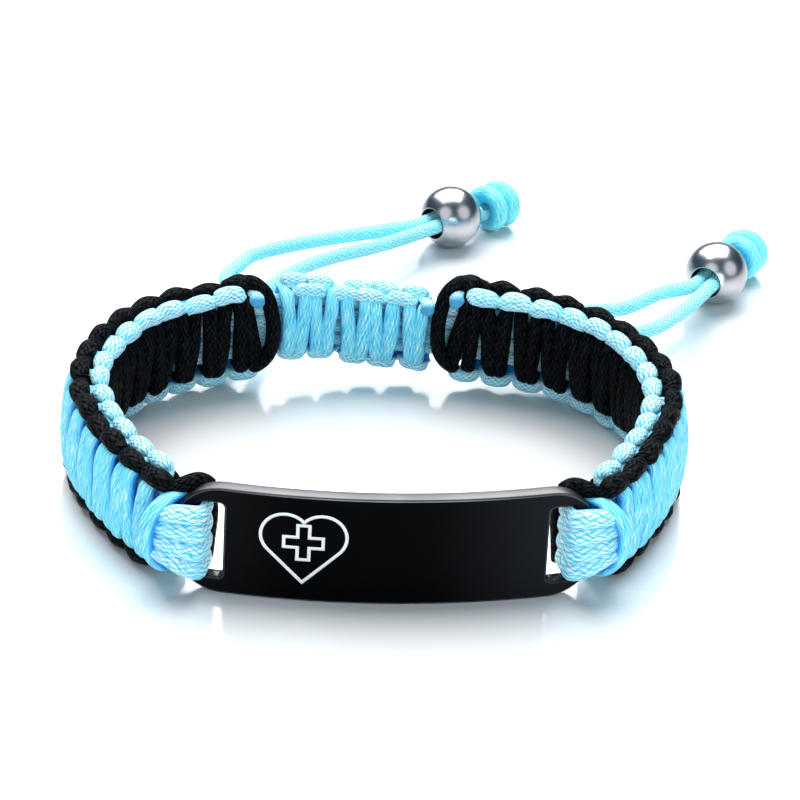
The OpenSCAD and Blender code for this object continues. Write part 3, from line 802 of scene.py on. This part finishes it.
@dataclass
class Band:
    """One woven band: four core cords round the plate's end bar and two working cords.

    A working cord's last rings, its cut, make way for rings of their own at the plate.
    """

    plan: LoopPlan
    side: Side
    band_height: float = 11.8
    core_thickness: float = 0.94
    turn_thickness: float = 1.0904
    knot_pitch: float = 1.9
    bump_reach: float = 2.5
    first_knot: float = 3.2
    last_knot: float = 0.9
    band_lean: float = 2.0
    weave_spacing: float = 0.24
    weave_sides: int = 22
    squareness: float = 0.95
    core_spacing: float = 0.35
    core_sides: int = 16
    blue_seed: int = 11
    black_seed: int = 31
    blue_cut: int = 10
    black_cut: int = 4

    def __post_init__(self) -> None:
        """Works out the weave and the knots' places."""
        plan, middle = self.plan, self.band_height / 2
        self.weave = Weave(
            plan, middle - self.bump_reach, self.core_thickness + plan.cord_gap / 2, 1.0, 1.0, middle, self.band_lean,
            last_spread=1.0, bump_rise=0.94,
        )
        self.length = plan.half_loop + self.side.value * plan.closure_offset - plan.closure_half - plan.closure_gap
        self.count = 2 * round(self.length / (2 * self.knot_pitch))
        self.step = -(self.length - self.first_knot - self.last_knot) / (self.count - 1)
        self.start = self.length - self.last_knot
        self.turn_half = self.turn_thickness / 2

    def blue_route(self) -> Route:
        """The blue working cord; its last bar leans over the core's turns to the plate's end."""
        route = self.weave.cord(Face.OUTER, self.count, self.start, self.step, self.blue_seed + self.side.value)
        end, top = self.length, self.weave.core_half_height
        melted = [(end - 0.9, -1.9, top + 0.9, 0, 1, 0.85, 0.7), (end - 0.7, -0.9, top + 1.1, 0, 1, 0.75, 0.6)]
        limb = [
            (2.2, 2.3, -3.2, 1, 0, 0.95, 0.65),
            (1.9, 3.3, -1.6, 1, 0.1, 1.0, 0.65),
            (1.4, 4.0, 0.6, 1, 0.3, 0.95, 0.62),
            (1.05, 4.0, 2.4, 0.8, 0.6, 0.95, 0.58),
            (0.9, 2.9, 3.7, 0.5, 1, 0.9, 0.52),
            (0.95, 0.9, 4.25, 0, 1, 0.85, 0.45),
            (1.0, -0.9, 4.1, 0, 1, 0.7, 0.4),
        ]
        limb_rings = self.weave.rings(limb, self.weave.outer_density)
        return Route.joined([self.weave.rings(melted), route[: -self.blue_cut], limb_rings])

    def black_route(self) -> Route:
        """The black working cord: a loop at the closure, its knots, a bump and a bar behind the plate's slot."""
        seed = self.black_seed + self.side.value
        route = self.weave.cord(Face.INNER, self.count - 1, self.start, self.step, seed, -1.0)
        plan, end, first, top = self.plan, self.length, self.first_knot, self.weave.core_half_height
        loop = [
            (end - 2.6, -0.9, 4.0, 0, 1, 0.6, 0.6),
            (end - 2.2, -0.1, 5.0, 0, 1, 0.72, 0.7),
            (end - 1.2, 0.5, 5.5, 0, 1, 0.8, 0.76),
            (end + 0.3, -0.6, 4.7, -0.5, 0.8, 0.8, 0.78),
            (end + 0.95, -1.8, 2.7, -1, 0.3, 0.8, 0.78),
            (end + 1.1, -2.35, 0.3, -1, 0, 0.8, 0.78),
            (end + 0.85, -2.3, -1.7, -1, -0.2, 0.8, 0.78),
            (end + 0.1, -2.0, -3.2, -0.8, -0.5, 0.8, 0.76),
            (end - 0.7, -1.4, -4.2, -0.5, -0.8, 0.7, 0.65),
        ]
        bump = [
            (first - self.step - 0.7, 1.05, top + 1.54, 0.4, 1, 0.94, 0.74),
            (first - 0.1, 1.15, top + 1.80, 0.35, 1, 1.1, 0.92),
            (2.2, 1.05, top + 1.70, 0.3, 1, 1.05, 0.85),
            (1.55, 0.65, top + 1.25, 0.2, 1, 0.75, 0.6),
            (0.9, -0.3, top + 1.6, 0.1, 1, 0.85, 0.8),
            (0.0, -1.7, top + 1.95, 0, 1, 0.82, 0.85),
            (-0.9, -2.4, top + 1.5, 0, 1, 0.75, 0.7),
        ]
        back, up, place = -plan.plate_thickness / 2, plan.plate_height / 2, plan.end_bar_place - 1.6
        offset = back - 3 * plan.cord_gap - 2 * self.turn_half - 0.7
        wide = 0.38 * self.knot_pitch
        behind = [
            (plan.end_bar_place + 0.2, back - 1.7, up + 3.4, 0, -1, 0.8, 0.6),
            (place, offset, up + 2.4, 0, -1, wide, 0.7),
            (place, offset, up - 2.4, 0, -1, wide, 0.7),
            (place, offset, up - 4, 0, -1, 0.6, 0.5),
        ]
        first_rings, bump_rings = self.weave.rings(loop, 0.85), self.weave.rings(bump)
        return Route.joined([first_rings, route[: -self.black_cut], bump_rings, plan.plate_rings(behind)])

    def core_route(self, level: float) -> Route:
        """One core cord: along the band's outer half, round the end bar through the slot and back.

        The right band's turns lie a little higher and closer than the left one's, as in the photo.
        """
        plan, step = self.plan, 2 * self.weave.core_half_height / 4
        layer = self.core_thickness / 2 + plan.cord_gap / 4
        sizes = (step / 2 - plan.cord_gap / 2, self.core_thickness / 2)
        places = np.linspace(self.first_knot - 0.9, self.length + 0.6, 26)
        out, back = (
            self.weave.rings([(u, way * layer, level * step, way, 0, *sizes) for u in places[::-way]])
            for way in (1, -1)
        )
        turn_step = (plan.slot_height - 2 * plan.cord_gap) / 4
        bar, front, end = plan.end_bar_place, plan.plate_thickness / 2, plan.plate_length / 2
        offset = front + plan.cord_gap + self.turn_half
        edge = end - plan.end_bar_width - plan.cord_gap - self.turn_half
        # along, outward, away along, away outward, share of the width, half thickness, raised
        rows = [
            (end + 1.4, front + 0.95, 0.5, 0.9, 0.70, 0.80, 0.60),
            (bar + 1.0, offset + 0.60, 0.25, 1, 0.84, 1.05, 0.50),
            (bar - 0.3, offset + 0.50, -0.1, 1, 0.96, 1.0, 0.15),
            (edge + 0.15, offset + 0.0, -0.6, 0.7, 1.03, 0.66, -0.15),
            (edge - 0.1, 0.2, -1, 0.1, 1.0, 0.58, 0.0),
            (edge + 0.05, -offset + 0.1, -0.7, -0.6, 1.0, 0.55, 0.0),
            (bar - 0.2, -offset - 0.05, 0, -1, 1.0, 0.55, 0.0),
            (bar + 0.8, -offset, 0.2, -1, 0.95, 0.52, 0.0),
        ]
        closer, higher = (0.95, 0.3) if self.side is Side.RIGHT else (1.0, 0.0)
        middle, spaced = plan.plate_height / 2 + higher, level * turn_step * closer
        turn = [
            (s, o, middle + spaced * spread + raised, away_s, away_o, turn_step / 2 * spread, thick)
            for s, o, away_s, away_o, spread, thick, raised in rows
        ]
        return Route.joined([out, plan.plate_rings(turn, 0.75), back])

    def build(self, finishes: Finishes) -> None:
        """Builds and dresses the band's six cords."""
        word = self.side.word
        for number in range(1, 5):
            route = self.core_route(number - 2.5).on_side(self.side).smooth(self.core_spacing).rounded_ends()
            piece = route.tube(f"{word}_core_braid_{number}", self.core_sides)
            dress(piece, Slot.BLUE, f"{word}_core_cord_{number}", finishes.core)
        for colour, route, slot, finish in (
            ("blue", self.blue_route(), Slot.BLUE, finishes.blue),
            ("black", self.black_route(), Slot.BLACK, finishes.black),
        ):
            route = route.on_side(self.side).smooth(self.weave_spacing).rounded_ends()
            piece = route.tube(f"{word}_{colour}_weave", self.weave_sides, self.squareness)
            dress(piece, slot, f"{word}_{colour}_cord", finish)


@dataclass
class Closure:
    """The sliding knot at the back: ten half knots of two blue strands round four pull cords.

    The last knot's bump, the cut, is left off both strands.
    """

    plan: LoopPlan
    knots: int = 10
    pitch: float = 1.7
    height: float = 9.4
    middle: float = 6.0
    squeeze: float = 0.93
    bump_share: float = 2.5
    seed: int = 51
    cut: int = 5
    spacing: float = 0.2
    sides: int = 22

    def __post_init__(self) -> None:
        """Works out the weave from the pull cords' stack."""
        plan = self.plan
        self.tail_half_height = plan.tail_diameter / 2 * self.squeeze
        self.tail_step = 2 * self.tail_half_height + plan.cord_gap
        self.centre = plan.half_loop + plan.closure_offset
        self.start = self.centre - (self.knots - 1) * self.pitch / 2
        core = 2 * self.tail_step
        self.weave = Weave(
            plan, core, plan.tail_diameter / 2 + plan.cord_gap / 2, (self.height / 2 - core) / self.bump_share, 0.8,
            self.middle, 0.0, slope=0.1, pivot=self.centre, loose=3.0, bar_half_thickness=1.0, bar_half_width=0.49,
            bar_end_width=0.44, pairing=0.03, inner_share=1.0, inner_density=0.45, bump_ends=(0.42, 0.42),
            bump_rise=0.72, plump=1.6,
        )

    def build(self, finishes: Finishes) -> None:
        """Builds and dresses the two strands; the outer one starts with its melted end."""
        place, top = self.start - 0.4, self.weave.core_half_height
        melted = self.weave.rings([(place, -2.0, top + 0.5, 0, 1, 0.8, 0.7), (place, -1.1, top + 0.7, 0, 1, 0.75, 0.6)])
        for face in Face:
            route = self.weave.cord(face, self.knots, self.start, self.pitch, self.seed + face.value)[: -self.cut]
            if face is Face.OUTER:
                route = Route.joined([melted, route])
            piece = route.smooth(self.spacing).rounded_ends().tube(f"closure_{face.word}_weave", self.sides)
            dress(piece, Slot.BLUE, f"closure_{face.word}_cord", finishes.blue)


@dataclass(frozen=True)
class BeadPlace:
    """Where a bead lies: X, distance behind the loop's back, and the direction of its cords."""

    x: float
    behind: float
    turned: float

    def axes(self, plan: LoopPlan) -> tuple[np.ndarray, np.ndarray, np.ndarray]:
        """The point of the surface under the bead's centre, and the directions along the bore and aside."""
        cosine, sine = circle(math.radians(self.turned))
        foot = np.array([self.x, plan.loop_depth / 2 + self.behind, 0])
        return foot, np.array([cosine, sine, 0]), np.array([-sine, cosine, 0])


@dataclass
class PullCord:
    """One pull cord: through the closure, out of its gap and freely to a bead and a knot."""

    plan: LoopPlan
    closure: Closure
    name: str
    level: int
    leaves: int
    bead: BeadPlace
    hand: int
    run: tuple[tuple[float, float, float], ...]
    knot_reach: float = 6.7
    knot_half_length: float = 2.52
    knot_middle: float = 2.5
    spacing: float = 0.3
    path_spacing: float = 2.0
    sides: int = 20

    def held(self) -> list[tuple]:
        """Rings through the closure and out of its gap."""
        plan, closure = self.plan, self.closure
        gap = plan.closure_half + plan.closure_gap / 2
        reach = plan.closure_half + plan.closure_gap - 0.1
        rows = [(share * reach, 0.0) for share in (-1, -0.9, -0.5, -0.1, 0.3, 0.6)]
        rows += [(gap - 1.1, 0.0), (gap - 0.35, 0.3), (gap, 1.1), (gap, 2.6)]
        v = (self.level - 2.5) * closure.tail_step
        rings = closure.weave.rings([(closure.centre + self.leaves * u, w, v, 1, 0, 1, 1) for u, w in rows])
        return [(centre, UP, plan.tail_diameter / 2, closure.tail_half_height) for centre in rings.centre]

    def through_bead(self) -> list[tuple]:
        """Rings through the bead and its knot."""
        foot, along, aside = self.bead.axes(self.plan)
        half = self.plan.bead_diameter / 2
        rows = [
            (-half - 0.6, 0.84, half, 0.8, 0.8),
            (half - 0.4, 0.84, half, 0.8, 0.8),
            (self.knot_reach - self.knot_half_length, 0.59, self.knot_middle, 0.55, 0.64),
            (self.knot_reach + self.knot_half_length + 0.2, 0.59, self.knot_middle, 0.55, 0.64),
        ]
        return [(foot + r * along + self.hand * a * aside + z * UP, UP, w, h) for r, a, z, w, h in rows]

    def build(self, finishes: Finishes) -> None:
        half, back = self.plan.tail_diameter / 2, self.plan.loop_depth / 2
        free = [(np.array([x, back + y, z]), UP, half, half) for x, y, z in self.run]
        route = Route.from_rings(self.held() + free + self.through_bead()).smooth(self.spacing)
        piece = route.rounded_ends().tube(f"{self.name}_braid", self.sides)
        dress(piece, Slot.BLUE, self.name, finishes.tail)
        path = route.smooth(self.path_spacing).centre * MM


@dataclass
class Bead:
    """A polished round bead with a drilled bore and the stopper knot behind it."""

    plan: LoopPlan
    side: Side
    place: BeadPlace
    bore: float = 3.6
    lip: float = 0.15
    turns: int = 64
    knot_reach: float = 6.9
    knot_radius: float = 2.75
    knot_start: float = 36.0
    wraps: float = 1.6
    wrap_pitch: float = 2.0
    wrap_width: float = 1.03
    wrap_thickness: float = 1.0
    wrap_slant: float = 0.35
    wrap_density: float = 0.55
    wrap_spacing: float = 0.2
    wrap_sides: int = 24

    def ball(self) -> bpy.types.Object:
        """The bead: a closed profile of ball, rounded lips and bore wall, turned about the bore.

        The ball's profile is a circle of the bead's radius between the two lips, each lip a curve
        from the ball over the sharp corner to the bore wall, with weights (1-t)^2, 2t(1-t) and t^2.
        """
        radius, hole = self.plan.bead_diameter / 2, self.bore / 2
        edge = math.asin((hole + self.lip) / radius)
        ball = radius * circle(np.linspace(edge, math.pi - edge, 48))
        corner = np.array([math.sqrt(radius**2 - hole**2), hole])
        t = np.linspace(0, 1, 8)[1:, None]
        lip = (1 - t) ** 2 * ball[0] + 2 * t * (1 - t) * corner + t**2 * (corner - [self.lip, 0])
        wall = stacked(np.linspace(-lip[-1, 0], lip[-1, 0], 8)[1:-1], np.full(6, hole))
        profile = np.concatenate([ball, lip * [-1, 1], wall, lip[::-1]])
        foot, along, aside = self.place.axes(self.plan)
        spokes = circle(2 * math.pi * np.arange(self.turns) / self.turns) @ np.array([aside, UP])
        grid = foot + radius * UP + profile[:, None, 0:1] * along + profile[:, None, 1:2] * spokes
        rows = len(profile)
        i, _, quads = ring_quads(rows, self.turns, closed=True)
        faces = np.roll(quads[:, ::-1], 1, axis=1)
        bead = add_object(f"{self.side.word}_steel_bead", grid.reshape(-1, 3), faces.tolist())
        # The bore wall's faces take the second material, painted dark as shade.
        inside = (i >= len(ball) + 5) & (i < rows - 5)
        bead.data.polygons.foreach_set("material_index", inside.ravel().astype(np.int32))
        return bead

    def knot_route(self) -> Route:
        """The stopper knot's wraps: a flattened cord on a helix round the bore's line."""
        foot, along, aside = self.place.axes(self.plan)
        share = np.linspace(0, 1, 48)
        angle = math.radians(self.knot_start) + 2 * math.pi * self.wraps * share
        reach = self.knot_reach + self.wrap_pitch * self.wraps * (share - 0.5) + self.wrap_slant * np.sin(angle)
        out = circle(angle) @ np.array([aside, UP])
        centre = foot + self.knot_radius * UP + reach[:, None] * along + (self.knot_radius - self.wrap_thickness) * out
        sizes = np.full(48, self.wrap_width), np.full(48, self.wrap_thickness)
        return Route(centre, out, *sizes, self.wrap_density)

    def build(self, finishes: Finishes) -> None:
        """Builds and dresses the bead and its knot."""
        word = self.side.word
        dress(self.ball(), Slot.BEAD, f"{word}_bead", finishes.mirror, finishes.bore)
        knot = self.knot_route().smooth(self.wrap_spacing).rounded_ends().tube(f"{word}_knot_wraps", self.wrap_sides)
        dress(knot, Slot.BLUE, f"{word}_end_knot", finishes.tail)


COATING, RIM, ENGRAVING, SLOT_WALL = range(4)


@dataclass
class Plate:
    """The curved steel plate: rounded corners, two slots, soft edges and an engraved emblem."""

    plan: LoopPlan
    corner: float = 5.0
    slot_width: float = 2.7
    slot_corner: float = 0.5
    edge: float = 0.24
    emblem_width: float = 8.8
    emblem_offset: float = 8.2
    emblem_line: float = 0.34
    emblem_depth: float = 0.1
    emblem_slope: float = 0.05
    plus_length: float = 4.2
    plus_width: float = 1.5
    plus_drop: float = 0.7
    sharp_from: float = 35.0
    grid_reach: tuple[float, float] = (21.0, 5.6)
    grid_steps: tuple[float, float] = (0.75, 0.8)
    grid_clear: float = 0.3
    weld: float = 2e-6

    def rounded(self, half_s: float, half_z: float, corner: float, centre_s: float) -> np.ndarray:
        """A rounded rectangle round (centre_s, 0) as a counter-clockwise loop of (s, z).

        Each quarter is twelve steps of a circle, and each straight side is cut evenly, so that
        loops of other sizes have the same number of points.
        """
        angle = np.linspace(0, math.pi / 2, 13)
        arcs = [
            np.array([x * (half_s - corner), z * (half_z - corner)]) + corner * circle(angle + quarter * math.pi / 2)
            for quarter, (x, z) in enumerate(((1, 1), (-1, 1), (-1, -1), (1, -1)))
        ]
        out = []
        for quarter, arc in enumerate(arcs):
            cuts = 36 if quarter % 2 == 0 else 6
            t = np.linspace(0, 1, cuts + 1)[1:-1, None]
            out += [arc, arc[-1] + t * (arcs[(quarter + 1) % 4][0] - arc[-1])]
        return np.concatenate(out) + [centre_s, 0]

    def heart(self, inset: float) -> np.ndarray:
        """The heart's outline: two straight sides from the tip and two arcs that meet at the notch."""
        lobe = self.emblem_width / (2 + math.sqrt(2))
        r, place = lobe - inset, lobe / math.sqrt(2)
        arc = r * circle(np.linspace(-math.pi / 4, math.acos(-place / r), 40)) + [place, 0]
        tip = np.array([0, -place - r * math.sqrt(2)])
        line = tip + np.linspace(0, 1, 14)[:-1, None] * (arc[0] - tip)
        right = np.concatenate([line, arc])
        return self.placed(np.concatenate([right, right[1:-1][::-1] * [-1, 1]]))

    def plus(self, inset: float) -> np.ndarray:
        """The plus sign's outline, twelve corners."""
        a, b = self.plus_length / 2 - inset, self.plus_width / 2 - inset
        corners, quarter_turn = [np.array([[a, -b], [a, b], [b, b]])], np.array([[0, 1], [-1, 0]])
        for _ in range(3):
            corners.append(corners[-1] @ quarter_turn)
        return self.placed(np.concatenate(corners) - [0, self.plus_drop])

    def placed(self, loop: np.ndarray) -> np.ndarray:
        """An emblem loop moved to its place on the plate."""
        lobe = self.emblem_width / (2 + math.sqrt(2))
        return loop + [-self.emblem_offset, lobe * (1.5 * math.sqrt(2) - 1) / 2]

    @staticmethod
    def inside(points: np.ndarray, loop: np.ndarray) -> np.ndarray:
        """Which points lie inside a loop, by counting the edges crossed by a ray."""
        a, b = loop, np.roll(loop, -1, axis=0)
        x, z = points[:, 0:1], points[:, 1:2]
        spans = (a[None, :, 1] > z) != (b[None, :, 1] > z)
        rise = np.where(np.abs(b[:, 1] - a[:, 1]) < 1e-12, 1e-12, b[:, 1] - a[:, 1])
        cross = a[None, :, 0] + (z - a[None, :, 1]) * (b[:, 0] - a[:, 0]) / rise
        return (spans & (x < cross)).sum(axis=1) % 2 == 1

    def face_sheet(self, loops: list[np.ndarray], holes: int, depths: list[float]) -> tuple[np.ndarray, ...]:
        """A flat face cut along its loops, as points with depths and triangles.

        Args:
            loops: every loop that the triangles must follow: the outline, the holes and the rest.
            holes: number of loops after the outline that stay open.
            depths: how far the points of each loop lie under the surface.

        Returns:
            (n, 2) points, (n,) depths and (m, 3) triangles, counter-clockwise.
        """
        outline, open_loops = loops[0], loops[1 : holes + 1]
        lines = (np.arange(-x, x + 0.01, step) for x, step in zip(self.grid_reach, self.grid_steps))
        s, z = np.meshgrid(*lines)
        grid = stacked(s.ravel(), z.ravel())
        border = np.concatenate(loops)
        near = np.min(np.linalg.norm(grid[:, None, :] - border[None], axis=2), axis=1) < self.grid_clear
        grid = grid[self.inside(grid, outline) & ~near]
        points = np.concatenate([border, grid])
        edges = []
        for start, loop in zip(np.cumsum([0] + [len(loop) for loop in loops]), loops):
            index = np.arange(len(loop))
            edges += stacked(start + index, start + (index + 1) % len(loop)).tolist()
        out = delaunay_2d_cdt([Vector(p) for p in points.tolist()], edges, [], 0, 1e-6, True)
        flat = np.array([tuple(p) for p in out[0]])
        triangles = np.array([tuple(f) for f in out[2]])
        depth_of = np.concatenate([np.full(len(loop), d) for loop, d in zip(loops, depths)] + [np.zeros(len(grid))])
        depth = np.array([depth_of[ids[0]] if len(ids) else 0.0 for ids in out[3]])
        middle = flat[triangles].mean(axis=1)
        keep = self.inside(middle, outline)
        for hole in open_loops:
            keep &= ~self.inside(middle, hole)
        triangles = triangles[keep]
        a, b, c = (flat[triangles[:, i]] for i in range(3))
        turn = (b[:, 0] - a[:, 0]) * (c[:, 1] - a[:, 1]) - (b[:, 1] - a[:, 1]) * (c[:, 0] - a[:, 0])
        triangles[turn < 0] = triangles[turn < 0][:, ::-1]
        return flat, depth, triangles

    def build(self, finishes: Finishes) -> None:
        """Builds and dresses the plate.

        The rim is the outline carried from the front face to the back over rings whose inset and
        depth follow a quarter circle, a straight wall and another quarter circle. The slots' walls
        are made in the same way with the inset reversed. Everything is then bent to the plate's arc.
        """
        plan, e = self.plan, self.edge
        half_s, half_z, half_t = plan.plate_length / 2, plan.plate_height / 2, plan.plate_thickness / 2
        place = half_s - plan.end_bar_width - self.slot_width / 2
        quarter = np.linspace(0, math.pi / 2, 5)
        inset = np.concatenate([e * (1 - np.sin(quarter)), e * (1 - np.cos(quarter))])
        level = np.concatenate([half_t - e * (1 - np.cos(quarter)), -half_t + e * (1 - np.sin(quarter))])
        vertices, faces, kinds = [], [], []

        def add(points: np.ndarray, offsets: np.ndarray, cells: np.ndarray, kind: np.ndarray | int) -> None:
            """Collects points (s, z) at offsets with their faces and material numbers."""
            base = sum(len(v) for v in vertices)
            vertices.append(plan.plate_point(points[:, 0], offsets, points[:, 1] + half_z))
            faces.extend((cells + base).tolist())
            kinds.extend(np.broadcast_to(kind, len(cells)).tolist())

        def wall(loop_of: Callable[[float], np.ndarray], inward: bool, kind: int) -> tuple[np.ndarray, np.ndarray]:
            """Adds the wall of a loop; loop_of gives the loop for an inset. Returns its first and last loops."""
            rings = [loop_of(i) for i in inset]
            count = len(rings[0])
            cells = ring_quads(len(rings), count)[2]
            add(np.concatenate(rings), np.repeat(level, count), cells[:, ::-1] if inward else cells, kind)
            return rings[0], rings[-1]

        def slot_loop(x: int) -> Callable[[float], np.ndarray]:
            """The function that gives the left (-1) or right (1) slot's loop for an inset."""
            wide, high = self.slot_width / 2, plan.slot_height / 2
            return lambda i: self.rounded(wide + i, high + i, self.slot_corner + i, x * place)

        outline = wall(lambda i: self.rounded(half_s - i, half_z - i, self.corner - i, 0), False, RIM)
        slots = [wall(slot_loop(x), True, SLOT_WALL) for x in (-1, 1)]
        line, soft = self.emblem_line, self.emblem_slope
        marks = [f(i) for f in (self.heart, self.plus) for i in (0, soft, line - soft, line)]
        depths = [0.0] * 3 + [0.0, self.emblem_depth, self.emblem_depth, 0.0] * 2
        flat, depth, triangles = self.face_sheet([outline[0], *(s[0] for s in slots), *marks], 2, depths)
        middle = flat[triangles].mean(axis=1)
        marked = np.zeros(len(triangles), bool)
        for first in (0, 4):
            marked |= self.inside(middle, marks[first]) & ~self.inside(middle, marks[first + 3])
        add(flat, half_t - depth, triangles, np.where(marked, ENGRAVING, COATING))
        flat, _, triangles = self.face_sheet([outline[1], *(s[1] for s in slots)], 2, depths[:3])
        add(flat, np.full(len(flat), -half_t), triangles[:, ::-1], COATING)
        piece = add_object("plate_steel", np.concatenate(vertices), faces)
        piece.data.polygons.foreach_set("material_index", np.array(kinds, dtype=np.int32))
        solid = bmesh.new()
        solid.from_mesh(piece.data)
        bmesh.ops.remove_doubles(solid, verts=solid.verts, dist=self.weld)
        solid.to_mesh(piece.data)
        solid.free()
        piece.data.set_sharp_from_angle(angle=math.radians(self.sharp_from))
        materials = finishes.coating, finishes.rim, finishes.engraving, finishes.slot_wall
        dress(piece, Slot.PLATE, "id_plate", *materials)


# Studio


@dataclass(frozen=True)
class Lamp:
    """An area light that looks at the bracelet from an azimuth (0 in front, 90 at the right)."""

    name: str
    azimuth: float
    elevation: float
    distance: float
    size: float
    watts: float
    shape: str
    tint: Colour = (1.0, 1.0, 1.0)

    def build(self) -> None:
        """Makes the light."""
        data = bpy.data.lights.new(self.name, "AREA")
        data.shape, data.size, data.energy, data.color = self.shape, self.size, self.watts, self.tint
        a, e = math.radians(self.azimuth), math.radians(self.elevation)
        place = self.distance * Vector((math.sin(a) * math.cos(e), -math.cos(a) * math.cos(e), math.sin(e)))
        aim = place.to_track_quat("Z", "Y").to_matrix().to_4x4()
        linked(self.name, data).matrix_world = Matrix.Translation(place) @ aim


@dataclass
class Studio:
    """Camera, floor and soft lights."""

    camera_place: tuple[float, float, float] = (-0.0283, -0.3933, 0.2287)
    azimuth: float = 4.45
    elevation: float = 29.0
    roll: float = 3.08
    lens: float = 197.4
    floor_reach: float = 3000.0
    floor_tones: tuple[Colour, Colour] = ((0.84, 0.85, 0.85), (0.86, 0.87, 0.87))
    floor_roughness: float = 0.16
    floor_specular: float = 1.0
    air: Colour = (0.16, 0.60, 1.0)
    air_strength: float = 0.11
    lamps: tuple[Lamp, ...] = (
        Lamp("top_softbox", 184.0, 57.0, 1.2, 1.4, 38.5, "SQUARE"),
        Lamp("front_panel", 4.0, 7.0, 1.5, 0.6, 10.8, "SQUARE", (0.80, 0.93, 1.0)),
        Lamp("left_round", -34.0, 38.0, 1.2, 1.05, 3.2, "DISK"),
        Lamp("right_round", 60.0, 32.0, 1.2, 1.05, 3.0, "DISK"),
    )

    def camera(self) -> None:
        """Places the camera as the photograph was taken."""
        a, e, r = (math.radians(x) for x in (self.azimuth, self.elevation, self.roll))
        ahead = np.array([math.sin(a) * math.cos(e), math.cos(a) * math.cos(e), -math.sin(e)])
        right = np.array([math.cos(a), -math.sin(a), 0])
        down = np.cross(ahead, right)
        turned_right = math.cos(r) * right - math.sin(r) * down
        turned_down = math.sin(r) * right + math.cos(r) * down
        axes = stacked(turned_right, -turned_down, -ahead)
        data = bpy.data.cameras.new("photo_camera")
        data.lens, data.sensor_width, data.clip_start = self.lens, 36.0, 0.01
        camera = linked("photo_camera", data)
        camera.matrix_world = Matrix.Translation(self.camera_place) @ Matrix(axes.tolist()).to_4x4()
        bpy.context.scene.camera = camera

    def floor(self) -> None:
        """A pale glossy floor."""
        corners = self.floor_reach * np.array([[-1, -1, 0], [1, -1, 0], [1, 1, 0], [-1, 1, 0]])
        plane = add_object("studio_floor", corners, [[0, 1, 2, 3]])
        g = Graph("pale_floor")
        tone = g.mix(g.noise(g.place("Object"), 3.0), *self.floor_tones)
        g.set(Base_Color=tone, Roughness=self.floor_roughness, Specular_IOR_Level=self.floor_specular)
        plane.data.materials.append(g.material)

    def build(self) -> None:
        """Camera, floor, lights and surroundings."""
        self.camera()
        self.floor()
        for lamp in self.lamps:
            lamp.build()
        world = bpy.data.worlds.new("studio_air")
        world.use_nodes = True
        background = world.node_tree.nodes["Background"]
        background.inputs["Color"].default_value = (*self.air, 1.0)
        background.inputs["Strength"].default_value = self.air_strength
        bpy.context.scene.world = world
        bpy.context.scene.view_settings.view_transform = "Standard"


LEFT_BEAD = BeadPlace(11.3, 32.2, 40.0)
RIGHT_BEAD = BeadPlace(40.5, 19.4, 59.0)
# name, level in the closure, end where it leaves, bead, side of the bore, free run as (x, behind the loop, z)
PULL_CORDS = (
    (
        "left_tail_cord_1", 3, 1, LEFT_BEAD, 1,
        (
            (-13.4, 4.4, 7.2), (-15, 9, 7), (-13.5, 13, 6.6), (-12, 16, 6.3), (-9, 18.6, 6), (-3, 23.2, 5),
            (2.8, 26.4, 4.4),
        ),
    ),
    (
        "left_tail_cord_2", 1, 1, LEFT_BEAD, -1,
        ((-12, 5, 5), (-10.5, 10, 5.2), (-7, 15.2, 5), (-3, 20, 4.2), (3, 24.2, 3.8)),
    ),
    (
        "right_tail_cord_1", 4, -1, RIGHT_BEAD, 1,
        ((11, 4, 7), (16, 5.5, 6), (22.5, 5.5, 5.6), (28.5, 7.5, 5), (33.4, 12.5, 4.4)),
    ),
    (
        "right_tail_cord_2", 2, -1, RIGHT_BEAD, -1,
        ((11, 3.4, 5), (17, 3.5, 4.8), (24, 1.6, 4.7), (30.6, 3, 4.6), (35.5, 9, 4)),
    ),
)


def main() -> None:
    """Builds the scene piece by piece, camera and cords first."""
    logging.basicConfig(level=logging.INFO, format="%(name)s: %(message)s")
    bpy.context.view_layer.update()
    plan = LoopPlan()
    Studio().build()
    finishes = Finishes()
    closure = Closure(plan)
    for row in PULL_CORDS:
        PullCord(plan, closure, *row).build(finishes)
    for side, place in ((Side.LEFT, LEFT_BEAD), (Side.RIGHT, RIGHT_BEAD)):
        Bead(plan, side, place).build(finishes)
    closure.build(finishes)
    Plate(plan).build(finishes)
    for side in Side:
        Band(plan, side).build(finishes)
    bpy.context.view_layer.update()


if __name__ == "__main__":
    main()
